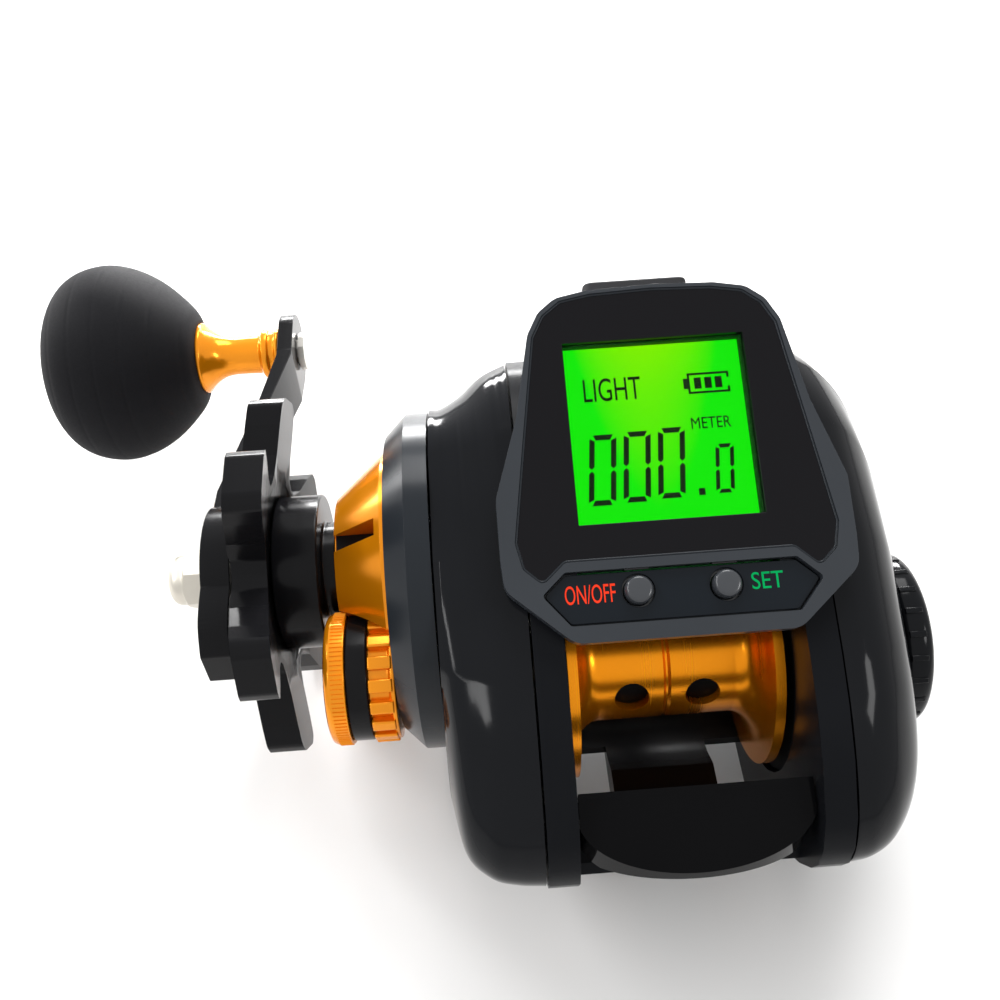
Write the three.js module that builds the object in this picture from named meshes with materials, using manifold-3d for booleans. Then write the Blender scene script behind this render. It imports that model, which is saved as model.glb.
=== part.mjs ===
// Low-profile fishing reel with a digital line counter.
// Millimetres. X runs along the spool axis towards the palm side, Y runs forward
// away from the angler, and Z runs up. The origin is the centre of the reel foot's
// underside, straight below the spool axis.

import * as THREE from 'three';
import { mergeVertices } from 'three/addons/utils/BufferGeometryUtils.js';
import Module from 'manifold-3d';

const wasm = await Module();
wasm.setup();

// Clearances
const seatGap = 0.3;
const runGap = 0.5;
const cutOver = 2;

// Facets round a full circle
const fineSides = 28;
const roundSides = 20;
const turnedSides = 15;
const smallSides = 10;
const tinySides = 8;
const hexSides = 6;

// Frame
const plateThickness = 3.9;
const bodyLength = 73;
const bodyHeight = 56;
const frontReachShare = 0.562;
const frontCurveShares = [
  [0.466, 0.491], [0.521, 0.411], [0.562, 0.268], [0.562, 0.089], [0.534, -0.12],
  [0.43, -0.31], [0.32, -0.43], [0.22, -0.4643],
];
const rearCurveShares = [
  [-0.123, -0.4643], [-0.192, -0.411], [-0.288, -0.295], [-0.377, -0.161],
  [-0.432, -0.036], [-0.445, 0.054], [-0.411, 0.161], [-0.301, 0.286], [-0.192, 0.364],
];
const saddleShares = [[-0.192, 0.364], [0, 0.473], [0.219, 0.554], [0.37, 0.554], [0.466, 0.491]];
const frontCurveSteps = 14;
const rearCurveSteps = 12;
const flangeRecessDepth = 1.2;
const flangeRecessClearance = 1.5;
const noseForwardShares = [0.31, 0.36, 0.505, 0.425];
const noseTopShare = -0.155;
const noseStep = 0.56;
const noseFootGap = 0.7;
const hoodShares = [[0.47, 0.31], [0.475, 0.37], [0.495, 0.39], [0.52, 0.345], [0.545, 0.25], [0.515, 0.25]];
const rearBeamShares = [
  [-0.345, -0.196], [-0.393, -0.107], [-0.38, -0.08], [-0.315, -0.08], [-0.295, -0.196], [-0.305, -0.25],
];
const floorEdgeShare = 0.72;
const floorSteps = 8;
const windowFront = 6;

// Reel foot, the standard plate that a rod's reel seat takes
const footLength = 56;
const footWidth = 14;
const footThickness = 2.5;
const footTipThickness = 1.2;
const footForward = 3;
const footHoleSpacing = 34;
const strutHalf = 7.5;
const footScrewRadius = 1.5;
const footScrewHeadRadius = 2.6;
const footScrewHeadDepth = 1;
const footScrewLength = 5;
const footTipSteps = 6;

// Spool and its shaft
const flangeRadius = 16.2;
const spoolFloorThickness = 0.8;
const spoolAxisHeight = footThickness + spoolFloorThickness + flangeRadius + runGap;
const flangeThickness = 1.3;
const spoolHalfWidth = 14.1;
const spoolSideGap = 0.7;
const arborRadius = 8.6;
const arborHalf = 9.3;
const arborWall = 1.3;
const spoolGrooveDepth = 0.35;
const spoolGrooveHalf = 0.4;
const webHalf = 1.2;
const spoolHubRadius = 2.4;
const spoolHubReach = 0.9;
const spoolHoleRadius = 2.4;
const spoolHoleOffset = 4.9;
const spoolHoleCount = 5;
const spoolHoleTurnShare = 0.25;
const spoolShaftRadius = 0.95;
const flareSteps = 1;
const flareRiseShare = 1.3;

// Spool bearings
const spoolBearingRadius = 3;
const spoolBearingWidth = 2.2;

// Drive line
const driveForward = 17;
const driveRise = 3.4;
const driveShaftRadius = 3;
const driveStubRadius = 2.4;
const driveThreadRadius = 2.2;
const driveFlangeRadius = 9;
const driveFlangeThickness = 1;
const driveTeeth = 63;
const pinionTeeth = 10;
const gearAddendum = 0.62;
const gearDedendum = 1.15;
const gearToothShares = [0.312, 0.12];
const gripToothShares = [0.46, 0.3];
const driveGearWidth = 3.4;
const driveCupRadius = 10.4;
const driveCupDepth = 2.4;
const washerRadius = 9.9;
const carbonWasherThickness = 1;
const steelWasherThickness = 1;
const driveBearingRadius = 4.4;
const driveBearingWidth = 2.5;
const rollerBearingRadius = 6.4;
const rollerBearingWidth = 4.2;

// Pinion, yoke and clutch cam
const pinionLength = 7.7;
const pinionStemRadius = 2.5;
const pinionRoomRadius = 3.3;
const pinionGrooveRadius = 1.9;
const pinionBearingRadius = 4.5;
const pinionBearingWidth = 2.3;
const yokeThickness = 1;
const yokeTravel = 1.8;
const yokeHeight = 17;
const yokeWidth = 9;
const camThickness = 1;
const camRadius = 7.6;
const camBore = 5.2;
const camArmHalf = 0.7;

// Level wind
const levelTeeth = 24;
const wormTeeth = 14;
const levelAddendum = 0.62;
const levelDedendum = 1.1;
const levelGearWidth = 1.4;
const wormInset = 12.526;
const guideNoseGap = 0.68;
const wormRadius = 2.6;
const wormJournalRadius = 1.9;
const guideRodRadius = 1.2;
const guideRodInset = 8.826;
const guideRodRise = 13.2;
const guideHalf = 4.6;
const guideBlockDepth = 7.6;
const guideBlockHeight = 8;
const guidePlateThickness = 3.6;
const eyeHalf = 2.2;
const eyeBottom = 2.6;
const eyeTop = 10;
const insertWall = 0.8;
const pawlRadius = 1.5;

// Thumb bar
const thumbTravel = 4.2;
const thumbThickness = 4.6;
const thumbFrontY = 24.6;
const thumbTopZ = 9.8;
const thumbReach = 8.4;
const thumbDrop = 6.4;
const thumbTabDepth = 2.2;
const thumbTabHeight = 3;
const thumbPlanSteps = 12;
const thumbEdgeShare = 0.3;
const thumbCurveShare = 0.96;
const thumbSideShares = [[0.45, 0.38], [0.3, 0.55]];
const thumbEdgeDropShare = 0.4;

// Gear side
const sideWall = 2;
const gearCoverDepth = 11.3;
const cavityLeadShare = 0.28;
const gearRingShares = [[0, 0, 0], [0.3, 0, 0.25], [0.62, 0.03, 0.75], [0.86, 0.17, 1], [1, 0.54, 1]];
const capRadius = 24.6;
const capForward = 13.6;
const capRise = 4;
const capDepth = 6.2;
const capWall = 2.2;
const capChamfer = 3;
const capSeatWidth = 1.7;
const bossWall = 1.6;
const knobBossRadius = 4.9;
const knobBossLength = 4.2;
const screwHeadRadius = 2.3;
const screwHeadDepth = 1.6;
const screwShankRadius = 1.1;
const screwBossWall = 1.2;
const gearScrewShares = [[-0.242, -0.09], [0.33, -0.29]];
const gearScrewSink = 8;

// Drive bushing, collar and star
const coneBaseRadius = 17;
const coneTipRadius = 10.8;
const coneLength = 7.9;
const coneRimWidth = 0.8;
const collarRadius = 11.5;
const collarNeckRadius = 7.2;
const collarNeckWidth = 1.8;
const collarLength = 8.6;
const starRadius = 26.4;
const starThickness = 5.2;
const starGap = 0.8;
const starLobes = 6;
const starLean = 2;
const starRootShare = 0.52;
const starLobeShares = [
  [-0.18, 0.97], [-0.11, 1], [0.11, 1], [0.18, 0.97], [0.22, 0.86], [0.28, 0.69],
  [0.38, 0.59], [0.5, 0.57], [0.62, 0.59], [0.72, 0.69], [0.78, 0.86],
];
const starTurn = 0.61;
const starDish = 1.2;
const starDishShare = 0.8;

// Crank
const armLength = 52.6;
const armTilt = -2.5 * Math.PI / 180;
const hubThickness = 4.2;
const hubRadius = 10.7;
const armSweep = 6.3;
const armTipThickness = 2.6;
const armEndRadius = 6.8;
const armEndSteps = 8;
const armFallShare = 0.86;
const tailReach = 16.5;
const armPlanShares = [
  [-1, 0.3], [-0.8, 0.62], [-0.5, 0.74], [0, 0.78], [0.3, 0.64], [0.6, 0.52], [0.88, 0.58],
];
const armPlanHalf = 10;
const nutHexRadius = 4.7;
const nutHexLength = 3.6;
const nutDomeLength = 2.6;
const nutDomeShares = [0.84, 0.72, 0.4];
const retainerThickness = 0.8;
const retainerRadius = 6.2;

// Knob
const spindleRadius = 2.2;
const spindleHeadRadius = 3.4;
const spindleHeadThickness = 1;
const neckLength = 14.7;
const neckRingRadius = 4.4;
const neckRingWidth = 3.4;
const neckWaistRadius = 3.5;
const neckSwellShare = 1.15;
const neckFlareRadius = 6.4;
const neckSleeveRadius = 4.8;
const neckSleeveLength = 19;
const knobLength = 27;
const knobRadius = 17.75;
const knobProfileShares = [
  [0, 0.38], [0.03, 0.5], [0.12, 0.66], [0.25, 0.83], [0.4, 0.95], [0.55, 1],
  [0.7, 0.97], [0.82, 0.88], [0.92, 0.7], [0.98, 0.42],
];

// Cast control knob
const tensionRadius = 9.3;
const tensionBodyRadius = 8.9;
const tensionRingWidth = 3.7;
const tensionBodyWidth = 3.1;
const tensionCapWidth = 3;
const tensionCapCrown = 0.9;
const tensionTeeth = 18;
const tensionToothDepth = 0.9;
const tensionFloor = 1.6;

// Palm side
const palmRingShares = [[0, 1], [0.25, 0.985], [0.5, 0.93], [0.78, 0.79], [1, 0.54]];
const palmCoverDepth = 12.6;
const palmCentreForward = 4;
const palmCentreRise = 0.5;
const brakePlateRadius = 17.3;
const brakePlateWall = 1.1;
const brakeBossRadius = 4.4;
const brakeRimWall = 1.4;
const magnetInner = 5.4;
const magnetOuter = 12.6;
const magnetThickness = 1.4;
const magnetTravel = 1;
const dialRadius = 12.5;
const dialThickness = 3.9;
const dialGrips = 24;
const dialGripDepth = 0.5;
const dialStemRadius = 3;
const palmScrewShare = [-0.29, -0.12];
const palmScrewSink = 5;

// Display
const displayTilt = 26.7 * Math.PI / 180;
const displayInset = 29.976;
const displaySeatShare = 0.529;
const displayStand = 5.976;
const lcdWidth = 22.5;
const lcdHeight = 22.9;
const lcdThickness = 1.4;
const lcdDepth = 2.2;
const glassThickness = 1;
const glassSink = 0.2;
const glassHalfWidth = 19.7;
const glassOutlineShares = [
  [0, 0.96], [0.4, 0.945], [0.6, 0.91], [0.715, 0.82], [0.79, 0.68], [0.905, -0.05],
  [1, -0.67], [0.965, -0.83], [0.863, -0.929], [0.716, -0.797],
];
const housingOutlineShares = [
  [0, 1], [0.42, 0.985], [0.63, 0.945], [0.75, 0.85], [0.83, 0.7], [0.945, 0.137],
  [1.112, -0.38], [1.112, -0.76], [1.1, -0.96], [0.69, -1.315],
];
const housingDepth = 26;
const housingFrontShares = [[0.472, 0.485], [0.486, 0.6]];
const bellyShares = [[-0.148, 0.405], [-0.092, 0.316], [0.3, 0.314], [0.445, 0.35], [0.46, 0.48]];
const bellyGap = 1;
const cavityHalf = 12.6;
const cavityRear = 13.2;
const cavityFront = 15.2;
const cavityDepth = 10.6;
const ledgeDepth = 5.5;
const panelOutlineShares = [[0, -0.888], [0.72, -0.888], [0.858, -1.01], [0.705, -1.193], [0, -1.193]];
const panelThickness = 0.8;
const panelSink = 0.8;
const buttonRadius = 1.75;
const buttonSpacing = 10.8;
const buttonRear = 19.9;
const buttonRise = 0.5;
const buttonCrown = 0.5;
const buttonTopShare = 0.8;
const buttonTravel = 0.8;
const buttonFlangeRadius = 2.2;
const buttonFlangeThickness = 0.9;
const boardWidth = 24.6;
const boardRear = 21.4;
const boardFront = 14.8;
const boardDepth = 4.2;
const boardThickness = 1.2;
const batteryWidth = 22;
const batteryLength = 23;
const batteryThickness = 4.2;
const jackWidth = 7.4;
const jackHeight = 5.6;
const jackDepth = 6.4;
const jackLength = 3.6;
const jackBore = 1.8;
const jackOffset = -1.5;
const portCoverWidth = 13.8;
const portCoverHeight = 10.2;
const portCoverTop = 1.5;
const portCoverOut = 0.8;
const portCoverThickness = 1.4;
const portPlugRadius = 1.4;
const portPlugLength = 1.2;

// Counter magnet and sensor
const counterMagnetRadius = 1.5;
const counterMagnetThickness = 0.5;
const counterRadius = 11.5;
const sensorRadius = 1.4;
const sensorLength = 2.4;

// Stations along the spool axis, worked out from the plates outward
const plateInner = spoolHalfWidth + spoolSideGap;
const plateOuter = plateInner + plateThickness;
const bellyHalf = plateInner - bellyGap;
const coverInner = plateOuter + seatGap;
const coverOuter = coverInner + gearCoverDepth;
const capInner = coverOuter + seatGap;
const capOuter = capInner + capDepth;
const levelGearStart = coverInner + runGap;
const levelGearEnd = levelGearStart + levelGearWidth;
const camStart = levelGearStart;
const camEnd = camStart + camThickness;
const yokeStart = levelGearEnd + runGap;
const yokeEnd = yokeStart + yokeThickness;
const driveFlangeStart = yokeEnd + runGap;
const driveFlangeEnd = driveFlangeStart + driveFlangeThickness;
const driveGearStart = yokeEnd + yokeTravel + runGap;
const driveGearEnd = driveGearStart + driveGearWidth;
const washerStart = driveGearEnd - driveCupDepth;
const carbonEnd = washerStart + carbonWasherThickness;
const steelEnd = carbonEnd + steelWasherThickness;
const pinionTeethStart = yokeEnd + seatGap;
const pinionTeethEnd = pinionTeethStart + pinionLength;
const rollerEnd = capOuter - capWall + seatGap;
const rollerStart = rollerEnd - rollerBearingWidth;
const knobBossEnd = capOuter + knobBossLength;
const tensionStart = capOuter + seatGap;
const tensionRingEnd = tensionStart + tensionRingWidth;
const tensionBodyEnd = tensionRingEnd + tensionBodyWidth;
const tensionEnd = tensionBodyEnd + tensionCapWidth;
const coneStart = capOuter + seatGap;
const coneEnd = coneStart + coneLength;
const collarStart = coneEnd + seatGap;
const collarShoulder = Math.max(collarStart + collarNeckWidth, tensionEnd + runGap);
const collarEnd = collarStart + collarLength;
const starEnd = collarEnd + starThickness;
const hubStart = starEnd + starGap;
const hubEnd = hubStart + hubThickness;
const nutStart = hubEnd + retainerThickness;
const nutEnd = nutStart + nutHexLength + nutDomeLength;
const armTipEnd = hubEnd - armSweep;
const armTipStart = armTipEnd - armTipThickness;
const neckStart = armTipEnd + seatGap;
const knobStart = neckStart + neckLength;
const knobEnd = knobStart + knobLength;
const palmInner = coverInner;
const palmOuter = palmInner + palmCoverDepth;
const dialInner = palmOuter + seatGap;
const dialOuter = dialInner + dialThickness;
const brakeInner = plateInner + 2 * seatGap;
const brakeOuter = plateOuter;
const shaftRightEnd = brakeInner + brakePlateWall + spoolBearingWidth + seatGap;

// Places in the YZ plane, the forward ones worked out from the front end of the side plates
const frontReach = bodyLength * frontReachShare;
const wormForward = frontReach - wormInset;
const guideRodForward = frontReach - guideRodInset;
const displayForward = frontReach - displayInset;
const driveOffset = Math.hypot(driveForward, driveRise);
const driveHeight = spoolAxisHeight + driveRise;
const noseTop = spoolAxisHeight + bodyHeight * noseTopShare;
const wormHeight = noseTop + guideNoseGap + guideBlockHeight / 2;
const capHeight = spoolAxisHeight + capRise;
const guideRodHeight = spoolAxisHeight + guideRodRise;
const levelOffset = Math.hypot(wormForward - driveForward, wormHeight - driveHeight);
const driveBearing = Math.atan2(driveRise, driveForward);
const levelBearing = Math.atan2(wormHeight - driveHeight, wormForward - driveForward);
const displayRise = bodyHeight * displaySeatShare + displayStand;
const displayHeight = spoolAxisHeight + displayRise;
const ledgeRear = buttonRear + buttonFlangeRadius + seatGap;
const portCoverEnd = glassHalfWidth + portCoverOut;

// Colours and finishes
const finish = (color, roughness, metalness) => new THREE.MeshStandardMaterial({
  color, roughness, metalness, flatShading: true,
});
const glossBlack = finish(0x14161a, 0.25, 0.1);
const softBlack = finish(0x1a1b1e, 0.85, 0);
const capGrey = finish(0x2a2d31, 0.4, 0.1);
const bezelGrey = finish(0x24282c, 0.35, 0.1);
const anodisedOrange = finish(0xf08a00, 0.25, 0.9);
const blackAlloy = finish(0x101114, 0.3, 0.6);
const steel = finish(0xc8c6c0, 0.25, 1);
const brass = finish(0xb08d4a, 0.35, 1);
const carbon = finish(0x202020, 0.7, 0);
const screenGreen = finish(0x3ee62a, 0.4, 0);
const glassBlack = finish(0x050507, 0.05, 0);
const boardGreen = finish(0x1c5a32, 0.6, 0);
const cellSilver = finish(0x9aa0a6, 0.4, 0.5);
const rubberBlack = finish(0x18191b, 0.8, 0);
const buttonGrey = finish(0x5a5e64, 0.45, 0);

// A closed solid from any closed three.js geometry, faces turned outward
function solidOf(geometry) {
  geometry.deleteAttribute('normal');
  geometry.deleteAttribute('uv');
  const merged = mergeVertices(geometry);
  const vertProperties = Float32Array.from(merged.attributes.position.array);
  const corners = [];
  for (let i = 0; i < merged.index.count; i += 3) {
    const [a, b, c] = [0, 1, 2].map((k) => merged.index.getX(i + k));
    if (a !== b && b !== c && c !== a) corners.push(a, b, c);
  }
  const triVerts = Uint32Array.from(corners);
  if (signedVolume(vertProperties, triVerts) < 0) triVerts.reverse();
  return new wasm.Manifold(new wasm.Mesh({ numProp: 3, vertProperties, triVerts }));
}

function signedVolume(points, corners) {
  const [a, b, c] = [new THREE.Vector3(), new THREE.Vector3(), new THREE.Vector3()];
  let volume = 0;
  for (let i = 0; i < corners.length; i += 3) {
    a.fromArray(points, corners[i] * 3);
    b.fromArray(points, corners[i + 1] * 3);
    c.fromArray(points, corners[i + 2] * 3);
    volume += a.dot(b.cross(c));
  }
  return volume;
}

function geometryOf(solid) {
  const mesh = solid.getMesh();
  const geometry = new THREE.BufferGeometry();
  geometry.setAttribute('position', new THREE.BufferAttribute(mesh.vertProperties, mesh.numProp));
  geometry.setIndex(new THREE.BufferAttribute(mesh.triVerts, 1));
  geometry.computeVertexNormals();
  return geometry;
}

const joined = (solids) => solids.reduce((all, solid) => all.add(solid));
const cut = (solid, ...tools) => tools.reduce((left, tool) => left.subtract(tool), solid);

function addPart(parent, name, solid, material) {
  const mesh = new THREE.Mesh(geometryOf(solid), material);
  mesh.name = name;
  parent.add(mesh);
  return mesh;
}

// A round bar along X between two stations
function rod(radius, from, to, y = 0, z = 0, sides = roundSides) {
  const length = Math.abs(to - from);
  const geometry = new THREE.CylinderGeometry(radius, radius, length, sides);
  geometry.rotateZ(Math.PI / 2);
  geometry.translate((from + to) / 2, y, z);
  return solidOf(geometry);
}

function tube(outer, inner, from, to, sides = roundSides) {
  const over = Math.sign(to - from) * cutOver;
  return cut(rod(outer, from, to, 0, 0, sides), rod(inner, from - over, to + over, 0, 0, sides));
}

// A turned part about the X axis, its profile given as [radius, station] pairs
function turned(profile, sides = roundSides) {
  const geometry = new THREE.LatheGeometry(profile.map(([r, x]) => new THREE.Vector2(r, x)), sides);
  geometry.rotateZ(-Math.PI / 2);
  return solidOf(geometry);
}

// A plate along X whose outline is given as [y, z] pairs
function plate(points, from, to) {
  const shape = new THREE.Shape(points.map(([y, z]) => new THREE.Vector2(y, z)));
  const geometry = new THREE.ExtrudeGeometry(shape, { depth: Math.abs(to - from), bevelEnabled: false });
  const turn = new THREE.Matrix4().makeBasis(
    new THREE.Vector3(0, 1, 0), new THREE.Vector3(0, 0, 1), new THREE.Vector3(1, 0, 0),
  );
  geometry.applyMatrix4(turn);
  geometry.translate(Math.min(from, to), 0, 0);
  return solidOf(geometry);
}

// A plate along Z whose outline is given as [x, y] pairs
function slab(points, from, to) {
  const shape = new THREE.Shape(points.map(([x, y]) => new THREE.Vector2(x, y)));
  const geometry = new THREE.ExtrudeGeometry(shape, { depth: to - from, bevelEnabled: false });
  geometry.translate(0, 0, from);
  return solidOf(geometry);
}

function block(x0, x1, y0, y1, z0, z1) {
  const geometry = new THREE.BoxGeometry(Math.abs(x1 - x0), Math.abs(y1 - y0), Math.abs(z1 - z0));
  geometry.translate((x0 + x1) / 2, (y0 + y1) / 2, (z0 + z1) / 2);
  return solidOf(geometry);
}

// A skin through rings of [x, y, z] points that all have the same count, closed at both ends
function loft(rings) {
  const count = rings[0].length;
  const corners = [];
  for (let i = 0; i < rings.length - 1; i += 1) {
    for (let j = 0; j < count; j += 1) {
      const a = i * count + j;
      const b = i * count + ((j + 1) % count);
      corners.push(a, b, b + count, a, b + count, a + count);
    }
  }
  const flat = rings[0].map((point) => new THREE.Vector2(point[1], point[2]));
  const last = (rings.length - 1) * count;
  const shareSign = Math.sign(THREE.ShapeUtils.area(flat));
  for (const [a, b, c] of THREE.ShapeUtils.triangulateShape(flat, [])) {
    const area = THREE.ShapeUtils.area([flat[a], flat[b], flat[c]]) * shareSign;
    const [p, q] = area > 0 ? [b, c] : [c, b];
    corners.push(a, q, p, last + a, last + p, last + q);
  }
  const geometry = new THREE.BufferGeometry();
  geometry.setAttribute('position', new THREE.Float32BufferAttribute(rings.flat(2), 3));
  geometry.setIndex(corners);
  return solidOf(geometry);
}

// Places on the side outline, given as shares of the body's length and height
const sidePoint = ([shareY, shareZ]) => [shareY * bodyLength, spoolAxisHeight + shareZ * bodyHeight];

function curvePoints(shares, steps) {
  const curve = new THREE.CatmullRomCurve3(
    shares.map((share) => new THREE.Vector3(...sidePoint(share), 0)), false, 'centripetal',
  );
  return curve.getPoints(steps).map((point) => [point.x, point.y]);
}

// The side outline: the saddle on top, the front curve, the flat underside and the rear curve
function sideOutline() {
  const saddle = saddleShares.slice(1, -1).map(sidePoint);
  const front = curvePoints(frontCurveShares, frontCurveSteps);
  const rear = curvePoints(rearCurveShares, rearCurveSteps);
  return [...saddle, ...front, ...rear];
}

const scaledOutline = (points, share, centreY, centreZ) => points.map(([y, z]) => [
  centreY + (y - centreY) * share, centreZ + (z - centreZ) * share,
]);

// Each point of a closed outline moved inward by a wall
function inset(points, wall) {
  const sign = Math.sign(THREE.ShapeUtils.area(points.map(([y, z]) => new THREE.Vector2(y, z))));
  return points.map(([y, z], i) => {
    const before = points[(i + points.length - 1) % points.length];
    const after = points[(i + 1) % points.length];
    const along = new THREE.Vector2(after[0] - before[0], after[1] - before[1]).normalize();
    return [y - along.y * wall * sign, z + along.x * wall * sign];
  });
}

// Points of a circle, one for each outline point, in the same directions from its centre
function circleToward(points, radius, centreY, centreZ) {
  return points.map(([y, z]) => {
    const reach = Math.hypot(y - centreY, z - centreZ);
    return [centreY + (y - centreY) * radius / reach, centreZ + (z - centreZ) * radius / reach];
  });
}

const ringAt = (x, points) => points.map(([y, z]) => [x, y, z]);

// A toothed outline about the origin, with straight-sided teeth
function toothed(teeth, pitch, addendum, dedendum, turn = 0, [rootShare, tipShare] = gearToothShares) {
  const step = 2 * Math.PI / teeth;
  const rootHalf = step * rootShare;
  const tipHalf = step * tipShare;
  const points = [];
  for (let k = 0; k < teeth; k += 1) {
    const middle = turn + k * step;
    const corners = [
      [pitch - dedendum, -rootHalf], [pitch + addendum, -tipHalf],
      [pitch + addendum, tipHalf], [pitch - dedendum, rootHalf],
    ];
    for (const [radius, angle] of corners) {
      points.push([radius * Math.cos(middle + angle), radius * Math.sin(middle + angle)]);
    }
  }
  return points;
}

const mirrored = (half) => [
  ...half, ...half.slice().reverse().filter(([x]) => x > 0).map(([x, y]) => [-x, y]),
];

// Frame: two side plates joined by the nose, the hood, the floor and the rear beam
function floorOutline(from, to) {
  const reach = flangeRadius + runGap;
  const edge = reach * Math.sin(Math.acos(floorEdgeShare));
  const points = [[from, footThickness], [from, floorTop(from, reach)]];
  for (let k = 0; k <= floorSteps; k += 1) {
    const y = -edge + 2 * edge * k / floorSteps;
    if (y > from && y < to) points.push([y, floorTop(y, reach)]);
  }
  points.push([to, floorTop(to, reach)], [to, footThickness]);
  return points;
}

const floorTop = (y, reach) => spoolAxisHeight - Math.max(reach * floorEdgeShare,
  Math.sqrt(Math.max(reach * reach - y * y, 0)));

function frameFloor() {
  const front = noseOutline()[2][0];
  const rear = sidePoint(rearBeamShares[4])[0] - cutOver;
  return joined([
    plate(floorOutline(rear, front), -strutHalf, strutHalf),
    plate(floorOutline(-windowFront, front), -plateInner - seatGap, plateInner + seatGap),
  ]);
}

function noseOutline() {
  const [rear, crest, front, toe] = noseForwardShares.map((share) => share * bodyLength);
  const bottom = footThickness + noseFootGap;
  return [[rear, bottom], [rear, noseTop - noseStep], [crest, noseTop], [front, noseTop], [toe, bottom]];
}

function crossBeam(outline) {
  return plate(outline, -plateInner - seatGap, plateInner + seatGap);
}

function frame() {
  const outline = sideOutline();
  const plates = [plate(outline, -plateOuter, -plateInner), plate(outline, plateInner, plateOuter)];
  const beams = [
    crossBeam(noseOutline()), crossBeam(hoodShares.map(sidePoint)), crossBeam(rearBeamShares.map(sidePoint)),
    frameFloor(),
  ];
  const body = joined([...plates, ...beams]);
  const recessRadius = flangeRadius + flangeRecessClearance;
  const axisZ = spoolAxisHeight;
  const through = plateOuter + cutOver;
  const recessEnd = plateInner + flangeRecessDepth;
  const holes = [
    rod(recessRadius, -recessEnd, -plateInner + seatGap, 0, axisZ, fineSides),
    rod(brakePlateRadius + seatGap, plateInner - seatGap, through, 0, axisZ, fineSides),
    rod(pinionBearingRadius + seatGap, -through, -plateInner, 0, axisZ),
    rod(driveBearingRadius + seatGap, -through, -recessEnd, driveForward, driveHeight),
    rod(wormJournalRadius + seatGap, -through, -plateInner, wormForward, wormHeight, smallSides),
    rod(wormJournalRadius + seatGap, plateInner, through, wormForward, wormHeight, smallSides),
    rod(guideRodRadius + seatGap, -rodSeat(), rodSeat(), guideRodForward, guideRodHeight, smallSides),
    rod(sensorRadius + seatGap, -through, -plateInner, 0, axisZ + counterRadius, tinySides),
    thumbSlot(),
    ...screwHoles(),
  ];
  return cut(body, ...holes);
}

const rodSeat = () => plateInner + plateThickness / 2;

function thumbSlot() {
  const [tabRear, tabFront, tabBottom, tabTop] = thumbTab();
  return block(-plateOuter - cutOver, -plateInner, tabRear - seatGap, tabFront + seatGap,
    tabBottom - thumbTravel - seatGap, tabTop + seatGap);
}

// Holes for the screws of the side covers and of the foot
function screwHoles() {
  const radius = screwShankRadius + seatGap;
  const gear = gearScrewShares.map(sidePoint).map(([y, z]) => (
    rod(radius, -plateOuter - cutOver, -plateOuter + plateThickness / 2, y, z, tinySides)
  ));
  const [palmY, palmZ] = sidePoint(palmScrewShare);
  const palm = rod(radius, plateOuter - plateThickness / 2, plateOuter + cutOver, palmY, palmZ, tinySides);
  const foot = footScrewPlaces().map((y) => upright(footScrewRadius + seatGap, -cutOver, footScrewLength, y));
  return [...gear, palm, ...foot];
}

// A round bar along Z
function upright(radius, from, to, y, sides = tinySides) {
  const geometry = new THREE.CylinderGeometry(radius, radius, to - from, sides);
  geometry.rotateX(Math.PI / 2);
  geometry.translate(0, y, (from + to) / 2);
  return solidOf(geometry);
}

const footScrewPlaces = () => [footForward - footHoleSpacing / 2, footForward + footHoleSpacing / 2];

// Reel foot with tapered ends and countersunk holes
function reelFoot() {
  const half = footLength / 2;
  const flat = footWidth;
  const side = [
    [footForward - half, 0], [footForward + half, 0], [footForward + half, footTipThickness],
    [footForward + half - flat, footThickness], [footForward - half + flat, footThickness],
    [footForward - half, footTipThickness],
  ];
  const body = plate(side, -footWidth / 2, footWidth / 2);
  const plan = [];
  for (let k = 0; k <= footTipSteps; k += 1) {
    const angle = -Math.PI / 2 + Math.PI * k / footTipSteps;
    plan.push([footWidth / 2 * Math.sin(angle), footForward + half - flat / 2 + flat / 2 * Math.cos(angle)]);
  }
  for (let k = 0; k <= footTipSteps; k += 1) {
    const angle = Math.PI / 2 + Math.PI * k / footTipSteps;
    plan.push([footWidth / 2 * Math.sin(angle), footForward - half + flat / 2 + flat / 2 * Math.cos(angle)]);
  }
  const rounded = body.intersect(slab(plan, -cutOver, footThickness + cutOver));
  const holes = footScrewPlaces().flatMap((y) => [
    upright(footScrewRadius + seatGap, -cutOver, footThickness + cutOver, y),
    upright(footScrewHeadRadius + seatGap, -cutOver, footScrewHeadDepth + seatGap, y),
  ]);
  return cut(rounded, ...holes);
}

function footScrew(y) {
  return joined([
    upright(footScrewRadius, footScrewHeadDepth / 2, footScrewLength - seatGap, y),
    upright(footScrewHeadRadius, seatGap / 2, footScrewHeadDepth, y),
  ]);
}

// Gear side cover: from the side outline down to the round seat of the gearbox cap
function gearCoverLoft(wall, over) {
  const outer = inset(sideOutline(), wall + seatGap);
  const rim = circleToward(outer, capRadius + seatGap - wall, capForward, capHeight);
  const rings = gearRingShares.map(([depthShare, rearShare, frontShare]) => ringAt(
    -coverInner - depthShare * gearCoverDepth,
    outer.map(([y, z], k) => {
      const along = THREE.MathUtils.mapLinear(y, -bodyLength / 2, bodyLength / 2, rearShare, frontShare);
      const share = Math.min(over ? along + cavityLeadShare * depthShare : along, 1);
      return [y + (rim[k][0] - y) * share, z + (rim[k][1] - z) * share];
    }),
  ));
  if (over) {
    rings.unshift(ringAt(-coverInner + over, outer));
    rings.push(ringAt(-coverOuter - over, rim));
  }
  return loft(rings);
}

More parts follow.
